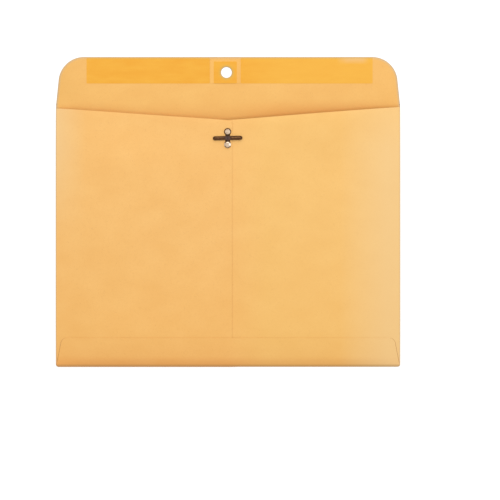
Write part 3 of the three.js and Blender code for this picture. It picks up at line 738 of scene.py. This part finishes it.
# The bottom flap rolls round the lower ends of the back panels and lies over them
def bottom_flap(outside, inside, cut):
    height = bottom_high.y - bottom_edge
    slope = math.atan2(BOTTOM_FLAP_SLANT, height)
    corner = BOTTOM_FLAP_CORNER_RADIUS
    arc_y = bottom_high.y - corner
    arc_inset = (arc_y - bottom_edge) * math.tan(slope) + corner / math.cos(slope)
    straight = crowded(bottom_edge, arc_y + corner * math.sin(slope))
    bends = arc(0, arc_y, corner, slope, math.pi / 2)[1:]
    roll = np.linspace(-math.pi / 2, math.pi / 2, ROLL_STEPS + 1)[:-1]
    row_y = np.concatenate([np.full(ROLL_STEPS, bottom_edge), straight, bends[:, 1]])
    slanted = (straight - bottom_edge) * math.tan(slope)
    insets = np.concatenate([np.zeros(ROLL_STEPS), slanted, arc_inset - bends[:, 0]])
    angles = np.concatenate([roll, np.full(len(straight) + len(bends), math.pi / 2)])
    columns = crowded(left_edge, right_edge)
    share = (columns - left_edge) / (right_edge - left_edge)
    widths = right_edge - left_edge - 2 * insets
    grid_x = (left_edge + insets)[None] + share[:, None] * widths[None]
    fade = np.clip((arc_y - row_y) / (arc_y - bottom_edge), 0, 1)
    grid_y = row_y[None] + corner_rise(columns)[:, None] * fade[None]
    layers = layers_under_flap(grid_x) * layer_step
    base = back_inner_face(grid_x, grid_y) + layers
    inner_radius = (FOLD_GAP + layers) / 2

    def face(radius):
        y = grid_y - radius * np.cos(angles)[None]
        z = base - inner_radius + radius * np.sin(angles)[None]
        return np.stack([grid_x, y, z], -1)

    inner, outer = face(inner_radius), face(inner_radius + PAPER)
    bevel = DIE_CUT_BEVEL * smooth_step(row_y - bottom_edge, BOTTOM_FLAP_SLANT)
    outer[0, :, 0] += bevel
    outer[-1, :, 0] -= bevel
    piece = grid_sheet("bottom_flap_sheet", inner, outer, [outside, inside, cut])
    dress(piece, "pocket", "kraft_paper", "bottom_flap")


# Glue between the panels, in the space of its solid. layers_at(x) counts the sheets under the
# panel that it holds.
def glue_line(name, node, layers_at, material):
    low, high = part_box(node)
    xs = crowded(low.x, high.x)
    ys = crowded(low.y, high.y)
    gap = None
    if high.y > clasp_y:
        xs, gap_columns = with_ends(xs, clasp_x - SLOT_HALF_X, clasp_x + SLOT_HALF_X)
        ys, gap_rows = with_ends(ys, clasp_y - SLOT_HALF_Y, clasp_y + SLOT_HALF_Y)
        gap = (gap_columns, gap_rows)
    grid_x, grid_y = np.meshgrid(xs, ys, indexing="ij")
    top = back_inner_face(grid_x, grid_y) + layers_at(grid_x) * layer_step
    base = top - GLUE_CLEARANCE - GLUE_FILM
    under = np.stack([grid_x, grid_y, base], -1)
    over = under + np.array([0, 0, GLUE_FILM])
    piece = grid_sheet(name, under, over, [material] * 3, gap)
    dress(piece, "pocket", "glue", node)


# A film or a patch on the inner face of the seal flap, inside the box of its solid. edge is the
# share of its thickness at its edge.
def flap_film(
    name, node, slot, materials, thickness, lift=0, hole_radius=0, edge=GUM_EDGE_SHARE, bevels=None
):
    low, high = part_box(node)
    corners = (low.x, low.y, high.x, high.y)
    loops = [rounded_rectangle(*corners, GUM_CORNER_RADIUS, FILM_OUTLINE_STEP)]
    xs = crowded(low.x, high.x, fine=FILM_EDGE_STEP)
    ys = crowded(low.y, high.y, step=FILM_STEP, fine=FILM_EDGE_STEP)
    if hole_radius:
        loops.append(circle(hole_x, hole_y, hole_radius))

    def faces_at(x, y, distance):
        base = front_underside(x, y) + PAPER + lift + FILM_CLEARANCE
        share = edge + (1 - edge) * ease_out(distance, GUM_EDGE_RUN, 2)
        return base, base + (thickness - FILM_CLEARANCE) * share

    piece = outline_sheet(name, loops, xs, ys, faces_at, materials, bevels)
    dress(piece, "flap", slot, node)


def flap_details(gum, patch, cut):
    films = [gum] * 3
    patch_hole = HOLE_RADIUS + DIE_CUT_BEVEL
    gum_hole = patch_hole + EDGE_BEVEL
    flap_film("gum_film_left", "gum_strip_left", "dry_gum", films, GUM_FILM)
    flap_film("gum_film_right", "gum_strip_right", "dry_gum", films, GUM_FILM)
    flap_film(
        "hole_patch",
        "hole_reinforcement",
        "patch_paper",
        [patch, patch, cut],
        PATCH_PAPER,
        hole_radius=patch_hole,
        edge=1,
        bevels=[0, EDGE_BEVEL],
    )
    flap_film("centre_gum_film", "centre_gum", "dry_gum", films, GUM_FILM, PATCH_PAPER, gum_hole)


# Clasp


def rounded_edge(distance, radius):
    inward = np.clip(radius - distance, 0, radius)
    return radius - np.sqrt(radius**2 - inward**2)


# Stamped plate: two round lobes with raised rims, joined by a waist with the prongs' slot
def clasp_plate(metal):
    meet = math.acos(WAIST_WIDTH / 2 / lobe_radius)
    upper, lower = lobe_ys
    outline = closed(
        [
            arc(clasp_x, upper, lobe_radius, -meet, math.pi + meet),
            arc(clasp_x, lower, lobe_radius, math.pi - meet, math.tau + meet),
        ],
        METAL_STEP,
    )
    shank = RIVET_SHANK_RADIUS + RIVET_CLEARANCE
    corners = np.array([(-1, -1), (1, -1), (1, 1), (-1, 1)]) * (SLOT_HALF_X, SLOT_HALF_Y)
    slot = closed([corner[None] for corner in corners + (clasp_x, clasp_y)], METAL_STEP)
    loops = [outline, circle(clasp_x, upper, shank), circle(clasp_x, lower, shank), slot]

    def faces_at(x, y, distance):
        drop = rounded_edge(distance, METAL_EDGE)
        nearest = np.minimum(np.hypot(x - clasp_x, y - upper), np.hypot(x - clasp_x, y - lower))
        from_rim = (nearest - lobe_radius + LOBE_RIM_INSET) / LOBE_RIM_WIDTH
        rim = LOBE_RIM_HEIGHT * np.exp(-(from_rim**2))
        low = plate_low.z + drop
        return low, plate_low.z + PLATE_THICKNESS - drop + rim

    xs = np.arange(plate_low.x, plate_high.x, METAL_STEP)
    ys = np.arange(plate_low.y, plate_high.y, METAL_STEP)
    piece = outline_sheet("clasp_plate_stamped", loops, xs, ys, faces_at, [metal] * 3)
    dress(piece, "pocket", "dark_tin", "clasp_plate")


# Rivet with a clinched end and a domed head. The dome has an oblong dimple in its middle.
def rivet(name, node, y, metal):
    clinch_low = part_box(node)[0].z
    clinch_high = clinch_low + RIVET_CLINCH_THICKNESS
    head = plate_low.z + PLATE_THICKNESS
    dome_rise = RIVET_HEAD_HEIGHT - METAL_EDGE
    dome = [
        (RIVET_HEAD_RADIUS * math.cos(turn), head + METAL_EDGE + dome_rise * math.sin(turn))
        for turn in np.linspace(0, math.pi / 2, DOME_POINTS)
    ]
    profile = [
        (0, clinch_low),
        (RIVET_CLINCH_RADIUS, clinch_low),
        (RIVET_CLINCH_RADIUS, clinch_high),
        (RIVET_SHANK_RADIUS, clinch_high),
        (RIVET_SHANK_RADIUS, head),
        (RIVET_HEAD_RADIUS - METAL_EDGE, head),
        *dome,
    ]
    piece = lathe(name, profile, clasp_x, y, metal)
    for vertex in piece.data.vertices:
        if vertex.co.z > head + METAL_EDGE:
            across = (vertex.co.x - clasp_x) / RIVET_DIMPLE[0]
            lengthwise = (vertex.co.y - y) / RIVET_DIMPLE[1]
            dent = math.exp(-across * across - lengthwise * lengthwise)
            vertex.co.z -= RIVET_DIMPLE_DEPTH * dent
    dress(piece, "pocket", "bright_tin", node)


# Flat prong with a round tip, a pressed rib along its middle, rounded edges and a rounded root
def prong(name, node, body, side, metal):
    pivot_x, pivot_y, pivot_z = joints[f"{body}_bend"]["pos_m"]
    low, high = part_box(node)
    length = (high.x - pivot_x if side > 0 else pivot_x - low.x) / math.cos(PRONG_YAW)
    half = PRONG_WIDTH / 2
    tip = arc(length - half, 0, half, -math.pi / 2, math.pi / 2)
    root = -PRONG_ROOT_RADIUS
    outline = closed([np.array([(root, -half)]), tip, np.array([(root, half)])], METAL_STEP)
    root_end = math.sqrt(PRONG_ROOT_RADIUS**2 - (PRONG_THICKNESS / 2) ** 2)
    rib_start = PRONG_RIB_START + PRONG_RIB_WIDTH / 2
    rib_end = length - PRONG_RIB_TIP_MARGIN - PRONG_RIB_WIDTH / 2

    def faces_at(x, y, distance):
        drop = rounded_edge(distance, METAL_EDGE)
        past = np.maximum(np.maximum(rib_start - x, x - rib_end), 0)
        off = np.hypot(past, y) / (PRONG_RIB_WIDTH / 2)
        rib = PRONG_RIB_HEIGHT * np.clip(1 - off**2, 0, 1) ** PRONG_RIB_ROUNDNESS
        flat = PRONG_THICKNESS / 2 - drop
        turn = np.sqrt(np.clip(PRONG_ROOT_RADIUS**2 - x**2, PRONG_ROOT_FLAT**2, None))
        half_thickness = np.where(x < root_end, turn, flat)
        return -half_thickness, half_thickness + rib

    xs = np.arange(root, length, METAL_STEP / 2)
    ys = np.arange(-half, half, METAL_STEP)
    piece = outline_sheet(name, [outline], xs, ys, faces_at, [metal] * 3)
    turned = Matrix.Rotation(PRONG_YAW if side > 0 else math.pi + PRONG_YAW, 4, "Z")
    piece.data.transform(Matrix.Translation((pivot_x, pivot_y, pivot_z)) @ turned)
    dress(piece, body, "dark_tin", node)


# Materials


def new_material(name):
    material = bpy.data.materials.new(name)
    material.use_nodes = True
    tree = material.node_tree
    return material, tree, tree.nodes["Principled BSDF"]


def add(tree, kind, **settings):
    node = tree.nodes.new(kind)
    for key, value in settings.items():
        if key in node.inputs:
            node.inputs[key].default_value = value
        else:
            setattr(node, key, value)
    return node


# Noise over a place, turned about Z and then stretched by three scales
def noise(tree, place, scales, detail=2.0, turn=0.0, bend=0.0):
    mapping = add(tree, "ShaderNodeMapping", vector_type="POINT")
    mapping.inputs["Rotation"].default_value = (0, 0, turn)
    stretch = add(tree, "ShaderNodeVectorMath", operation="MULTIPLY")
    stretch.inputs[1].default_value = scales
    texture = add(tree, "ShaderNodeTexNoise", Scale=1.0, Detail=detail, Distortion=bend)
    tree.links.new(place, mapping.inputs["Vector"])
    tree.links.new(mapping.outputs["Vector"], stretch.inputs[0])
    tree.links.new(stretch.outputs[0], texture.inputs["Vector"])
    return texture.outputs["Fac"]


def ranged(tree, value, low, high, to_low=0.0, to_high=1.0):
    ends = {"From Min": low, "From Max": high, "To Min": to_low, "To Max": to_high}
    node = add(tree, "ShaderNodeMapRange", clamp=True, **ends)
    tree.links.new(value, node.inputs["Value"])
    return node.outputs["Result"]


def combine(tree, operation, first, second):
    node = add(tree, "ShaderNodeMath", operation=operation)
    for socket, value in zip(node.inputs, (first, second)):
        if isinstance(value, (int, float)):
            socket.default_value = value
        else:
            tree.links.new(value, socket)
    return node.outputs[0]


# A mix node's colours are its sockets 6 and 7, and their mix is its output 2
def mix_colours(tree, share, first, second):
    node = add(tree, "ShaderNodeMix", data_type="RGBA")
    for index, value in ((0, share), (6, first), (7, second)):
        if isinstance(value, (int, float, tuple)):
            node.inputs[index].default_value = value
        else:
            tree.links.new(value, node.inputs[index])
    return node.outputs[2]


def add_bump(tree, shader, height, distance, strength):
    node = add(tree, "ShaderNodeBump", Strength=strength, Distance=distance)
    tree.links.new(height, node.inputs["Height"])
    tree.links.new(node.outputs["Normal"], shader.inputs["Normal"])


# Linear colour of an sRGB shade
def colour(shade):
    shares = [value / 255 for value in shade]
    return (*(s / 12.92 if s <= 0.04045 else ((s + 0.055) / 1.055) ** 2.4 for s in shares), 1)


def rest_place(tree):
    return add(tree, "ShaderNodeAttribute", attribute_name="rest").outputs["Vector"]


# Measures of a place: how far it lies along a direction, or from a spot
def distance_along(x, y):
    return ("DOT_PRODUCT", (x, y, 0))


def distance_from(x, y, z=0):
    return ("DISTANCE", (x, y, z))


ACROSS = distance_along(1, 0)
UP = distance_along(0, 1)


# Lays wear tones over a tone. Each is its greatest share, its shade, and for one measure of the
# place or more the values at which it starts and is full.
def worn_tone(tree, place, tone, wear_tones):
    for share, shade, *ranges in wear_tones:
        for (operation, vector), start, full in ranges:
            measure = add(tree, "ShaderNodeVectorMath", operation=operation)
            measure.inputs[1].default_value = vector
            tree.links.new(place, measure.inputs[0])
            reach = ranged(tree, measure.outputs["Value"], start, full)
            share = combine(tree, "MULTIPLY", share, reach)
        tone = mix_colours(tree, share, tone, colour(shade))
    return tone


# Kraft paper: cloudy formation, short fibres in all directions and a fine tooth. rim is the shade
# of an edge that is handled and has painted edge shade.
def kraft(name, shades, wear_tones=(), rim=None):
    base, cloud, fibre = map(colour, shades)
    material, tree, shader = new_material(name)
    place = rest_place(tree)
    clouds = noise(tree, place, CLOUD_SCALES, detail=3)
    flecks = noise(tree, place, FLECK_SCALES)
    fibres = 0.0
    for turn in FIBRE_TURNS:
        strand = noise(tree, place, FIBRE_SCALES, detail=1, turn=turn, bend=FIBRE_BEND)
        fibres = combine(tree, "MAXIMUM", fibres, ranged(tree, strand, *FIBRE_RANGE))
    tone = mix_colours(tree, ranged(tree, clouds, *BROAD_RANGE), base, cloud)
    fleck_share = ranged(tree, flecks, *FLECK_RANGE, 0.0, FLECK_SHARE)
    tone = mix_colours(tree, fleck_share, tone, cloud)
    tone = mix_colours(tree, combine(tree, "MULTIPLY", fibres, FIBRE_SHARE), tone, fibre)
    tone = worn_tone(tree, place, tone, wear_tones)
    if rim:
        nearness = add(tree, "ShaderNodeAttribute", attribute_name="rim").outputs["Fac"]
        rim_share = ranged(tree, nearness, 0, RIM_FULL, 0.0, HANDLED_AND_SHADED_SHARE)
        tone = mix_colours(tree, rim_share, tone, colour(rim))
    tree.links.new(tone, shader.inputs["Base Color"])
    tooth = noise(tree, place, PAPER_TOOTH_SCALES, detail=3)
    height = combine(tree, "ADD", tooth, combine(tree, "MULTIPLY", fibres, FIBRE_RELIEF))
    add_bump(tree, shader, height, PAPER_TOOTH, SOFT_BUMP)
    roughness = ranged(tree, flecks, *BROAD_RANGE, *PAPER_ROUGHNESS)
    tree.links.new(roughness, shader.inputs["Roughness"])
    shader.inputs["Specular IOR Level"].default_value = PAPER_GLOSS
    return material


# Dried gum: a film that is a little thicker and glossier in places
def dry_gum(name, shades, wear_tones=()):
    base, thick = map(colour, shades)
    material, tree, shader = new_material(name)
    place = rest_place(tree)
    pools = noise(tree, place, POOL_SCALES, detail=3)
    streaks = noise(tree, place, STREAK_SCALES)
    tone = mix_colours(tree, ranged(tree, pools, *BROAD_RANGE), base, thick)
    streak_share = ranged(tree, streaks, *STREAK_RANGE, 0.0, STREAK_SHARE)
    tone = mix_colours(tree, streak_share, tone, thick)
    tone = worn_tone(tree, place, tone, wear_tones)
    tree.links.new(tone, shader.inputs["Base Color"])
    roughness = ranged(tree, pools, *BROAD_RANGE, *GUM_ROUGHNESS)
    tree.links.new(roughness, shader.inputs["Roughness"])
    tooth = noise(tree, place, GUM_TOOTH_SCALES)
    add_bump(tree, shader, combine(tree, "ADD", tooth, streaks), GUM_TOOTH, SOFT_BUMP)
    return material


# Tin plate with faint rolling marks and duller patches
def tin(name, shades, roughness, wear_tones=()):
    base, dull = map(colour, shades)
    material, tree, shader = new_material(name)
    place = add(tree, "ShaderNodeTexCoord").outputs["Object"]
    marks = noise(tree, place, ROLLING_SCALES)
    patches = noise(tree, place, DULL_SCALES, detail=3)
    tone = mix_colours(tree, ranged(tree, patches, *DULL_RANGE), base, dull)
    tone = worn_tone(tree, place, tone, wear_tones)
    tree.links.new(tone, shader.inputs["Base Color"])
    shader.inputs["Metallic"].default_value = 1.0
    finish = ranged(tree, patches, *TIN_ROUGHNESS_RANGE, *roughness)
    tree.links.new(finish, shader.inputs["Roughness"])
    add_bump(tree, shader, marks, TIN_MARKS, TIN_BUMP)
    return material


# Outer face of the blank: darker towards the bottom, partly a deeper, rubbed tone and partly
# painted shade; paler towards the sides as painted sheen and on the right half as painted light;
# side folds soiled and with painted edge shade, and a painted shadow in the bottom crease
def outside_kraft():
    right_sheen = (ACROSS, right_edge - 56 * MM, right_edge - 12 * MM)
    wear_tones = [
        # Darker towards the bottom: partly a rubbed tone, partly painted shade of the slope
        (0.2, DEEPER_AND_SHADED, (UP, bottom_edge + 125 * MM, bottom_edge + 25 * MM)),
        (0.12, RUBBED_AND_SHADED, (UP, bottom_edge + 26 * MM, bottom_edge + 8 * MM)),
        (0.5, RUBBED_AND_SHADED, (UP, bottom_edge + 10 * MM, bottom_edge + 1 * MM)),
        # Painted light on the right half
        (0.2, PAINTED_LIGHT, (ACROSS, 0, 35 * MM)),
        # Painted sheen, paler towards both sides
        (0.34, PAINTED_SHEEN, right_sheen),
        (0.34, PAINTED_SHEEN, right_sheen, (UP, fold_y, fold_y - 40 * MM)),
        (0.6, PAINTED_SHEEN, (ACROSS, left_edge + 28 * MM, left_edge), (UP, 0, fold_y - 40 * MM)),
        # Side folds: dirt and painted edge shade
        (0.5, SOILED_AND_SHADED, (ACROSS, right_edge - 0.8 * MM, right_edge + 0.2 * MM)),
        (0.5, SOILED_AND_SHADED, (ACROSS, left_edge + 0.8 * MM, left_edge - 0.2 * MM)),
        # Painted shadow in the bottom crease
        (0.48, CREASE_SHADOW, (UP, bottom_edge + 2.4 * MM, bottom_edge + 0.4 * MM)),
    ]
    return kraft("kraft_outside", KRAFT_OUTSIDE, wear_tones)


# Inner face of the blank: painted shade down in the mouth and to its right, darker at the
# flap's left corner, and a painted shadow along the lips of the back panels
def inside_kraft():
    right_lip = distance_along(-(THROAT_DEPTH - RIGHT_THROAT_START) / half_width, 1)
    left_lip = distance_along((THROAT_DEPTH - LEFT_THROAT_START) / half_width, 1)
    lip_y = fold_y - THROAT_DEPTH
    near_point = (distance_from(0, lip_y), 26 * MM, 6 * MM)
    lip_band = (lip_y + 3.4 * MM, lip_y + 0.6 * MM)
    wear_tones = [
        # Painted shade down in the mouth, under the lips of the back panels, deeper to the right
        (0.36, MOUTH_SHADE, (UP, fold_y + 3 * MM, fold_y - 10 * MM)),
        (0.6, MOUTH_SHADE, (UP, fold_y + 6 * MM, fold_y - 6 * MM), (ACROSS, 0, 40 * MM)),
        (0.4, DARKER, (ACROSS, -128 * MM, -156 * MM), (UP, fold_y, fold_y + 12 * MM)),
        # Painted shadow along the lips of the back panels and at the point of the V
        (0.25, LIP_SHADOW, (right_lip, *lip_band), (ACROSS, -12 * MM, 12 * MM)),
        (0.08, LIP_SHADOW, (left_lip, *lip_band), (ACROSS, 12 * MM, -12 * MM)),
        (0.16, LIP_SHADOW, near_point, (UP, lip_y + 2.6 * MM, lip_y + 0.4 * MM)),
    ]
    return kraft("kraft_inside", KRAFT_INSIDE, wear_tones, HANDLED_AND_SHADED)


# Patch and gum on the flap, whose top edge is handled and has painted edge shade. The gum is paler
# to the right, has a painted highlight in one spot near its right end and painted edge shade round
# the hole.
def flap_materials():
    top = flap_high.y
    # Near the flap's top edge: handling and painted edge shade
    top_rim = (UP, top - RIM_WIDTH, top - (1 - RIM_FULL) * RIM_WIDTH)
    patch = kraft("patch_paper", PATCH_SHADES, [(HANDLED_AND_SHADED_SHARE, HANDLED_AND_SHADED, top_rim)])
    # Where the gum's painted highlight lies
    highlight_spot = [
        (ACROSS, 100 * MM, 110 * MM),
        (ACROSS, 130 * MM, 124 * MM),
        (UP, top - 7 * MM, top - 2 * MM),
    ]
    gum_wear = [
        (0.5, PALE_GUM, (ACROSS, 10 * MM, 50 * MM)),
        # Painted highlight on the gum near its right end
        (0.85, GUM_HIGHLIGHT, *highlight_spot),
        (HANDLED_AND_SHADED_SHARE, HANDLED_AND_SHADED_GUM, top_rim),
        # Darker round the hole: painted edge shade
        (0.56, HOLE_RIM_SHADE, (distance_from(hole_x, hole_y), 7.8 * MM, 6.2 * MM)),
    ]
    return dry_gum("dry_gum", GUM_SHADES, gum_wear), patch


# Tin of the two rivets, the prongs and the plate. Painted shade darkens the middle of the plate and
# the top of the upper rivet, a painted sheen pales the prongs' roots, and painted highlights
# brighten both sides and the foot of the lower lobe and its rivet.
def clasp_materials():
    upper, lower = lobe_ys
    top = plate_high.z
    from_clasp = distance_from(clasp_x, clasp_y, top)
    from_right_glint = distance_from(clasp_x + lobe_radius, lower, top)
    from_left_highlight = distance_from(clasp_x - lobe_radius, lower, top)
    # Painted shade at the top of the upper rivet
    upper_shade = [(0.75, RIVET_TOP_SHADE, (UP, upper + 0.9 * MM, upper + 2.2 * MM))]
    # Painted glint on the lower rivet
    lower_glint = [(1.0, GLINT, (from_right_glint, 2.6 * MM, 1.6 * MM))]
    # Painted sheen at the prongs' roots
    prong_sheen = [(0.9, PRONG_ROOT_SHEEN, (from_clasp, 3.4 * MM, 1.2 * MM))]
    plate_shade_and_highlights = [
        # Painted shade over the waist in the middle of the clasp
        (0.9, WAIST_SHADE, (from_clasp, 3.8 * MM, 2.6 * MM)),
        # Painted highlights on the lower lobe's rim
        (0.25, TIN_HIGHLIGHT, (UP, lower + 1.2 * MM, lower - 0.4 * MM)),
        (0.7, TIN_HIGHLIGHT, (from_left_highlight, 1.7 * MM, 1 * MM)),
        (1.0, TIN_HIGHLIGHT, (from_right_glint, 1.9 * MM, 1.3 * MM)),
    ]
    return (
        tin("bright_tin_upper", BRIGHT_TIN, RIVET_ROUGHNESS, upper_shade),
        tin("bright_tin_lower", BRIGHT_TIN, RIVET_ROUGHNESS, lower_glint),
        # Dark prong and plate tin: painted reflection
        tin("dark_prong_tin", PRONG_TIN_PAINTED_REFLECTION, PRONG_ROUGHNESS, prong_sheen),
        tin("dark_plate_tin", PLATE_TIN_PAINTED_REFLECTION, PLATE_ROUGHNESS, plate_shade_and_highlights),
    )


# Stage


# 1 for the rays that show the background itself: the camera's, and those in metal and gloss
def background_rays(tree):
    path = add(tree, "ShaderNodeLightPath")
    seen = 0.0
    for kind in ("Camera", "Glossy", "Transmission"):
        seen = combine(tree, "MAXIMUM", seen, path.outputs[f"Is {kind} Ray"])
    return seen


# Floor that is white to the camera but keeps a soft part of the object's shadow
def floor_material():
    material, tree, _shader = new_material("pale_floor")
    tree.nodes.clear()
    output = add(tree, "ShaderNodeOutputMaterial")
    paint = add(tree, "ShaderNodeBsdfDiffuse")
    white = add(tree, "ShaderNodeEmission", Color=WHITE)
    both = add(tree, "ShaderNodeAddShader")
    seen = background_rays(tree)
    tree.links.new(mix_colours(tree, seen, FLOOR_PAINT, FLOOR_SEEN_PAINT), paint.inputs["Color"])
    tree.links.new(ranged(tree, seen, 0, 1, 0.0, FLOOR_GLOW), white.inputs["Strength"])
    tree.links.new(paint.outputs[0], both.inputs[0])
    tree.links.new(white.outputs[0], both.inputs[1])
    tree.links.new(both.outputs[0], output.inputs["Surface"])
    return material


def build_floor():
    corners = np.array([(-1, -1, 0), (1, -1, 0), (1, 1, 0), (-1, 1, 0)]) * FLOOR_HALF
    mesh = bpy.data.meshes.new("floor")
    mesh.from_pydata((corners - (0, 0, FLOOR_DROP)).tolist(), [], [[0, 1, 2, 3]])
    mesh.materials.append(floor_material())
    floor = new_object("floor", mesh)


def build_world():
    world = bpy.data.worlds.new("soft_room")
    world.use_nodes = True
    bpy.context.scene.world = world
    tree = world.node_tree
    background = tree.nodes["Background"]
    background.inputs["Color"].default_value = WHITE
    light = ranged(tree, background_rays(tree), 0, 1, WORLD_LIGHT, 1.0)
    tree.links.new(light, background.inputs["Strength"])


def build_light(name, place, size, power):
    data = bpy.data.lights.new(name, "AREA")
    data.shape = "SQUARE"
    data.size = size
    data.energy = power
    lamp = new_object(name, data)
    lamp.location = place
    lamp.rotation_euler = (-Vector(place)).to_track_quat("-Z", "Y").to_euler()


def build_camera():
    data = bpy.data.cameras.new("camera")
    data.lens = LENS
    data.sensor_width = SENSOR
    data.clip_end = VIEW_REACH
    camera = new_object("camera", data)
    camera.location = (*VIEW_CENTRE, VIEW_WIDTH * LENS / SENSOR)
    bpy.context.scene.camera = camera


build_camera()
build_floor()
build_world()
build_light(*TOP_LIGHT)
build_light(*SIDE_LIGHT)
bpy.context.scene.view_settings.view_transform = "Standard"

outside, inside = outside_kraft(), inside_kraft()
folded_cut = kraft("kraft_cut_edge", KRAFT_CUT)
die_cut = kraft("kraft_die_cut_edge", KRAFT_DIE_CUT)
gum, patch = flap_materials()
glue = dry_gum("seam_glue", GLUE_SHADES)
upper_tin, lower_tin, prong_tin, plate_tin = clasp_materials()

front_sheet(outside, inside, die_cut)
back_panels(outside, inside, folded_cut)
bottom_flap(outside, inside, folded_cut)
glue_line("seam_glue_film", "seam_glue", np.ones_like, glue)
glue_line("bottom_glue_film", "bottom_flap_glue", layers_under_flap, glue)
flap_details(gum, patch, die_cut)
clasp_plate(plate_tin)
rivet("rivet_upper_head", "rivet_upper", lobe_ys[0], upper_tin)
rivet("rivet_lower_head", "rivet_lower", lobe_ys[1], lower_tin)
prong("prong_left_strip", "prong_left", "left_prong", -1, prong_tin)
prong("prong_right_strip", "prong_right", "right_prong", 1, prong_tin)
frame["nodes"]["clasp_base_bar"].data.materials[0] = prong_tin
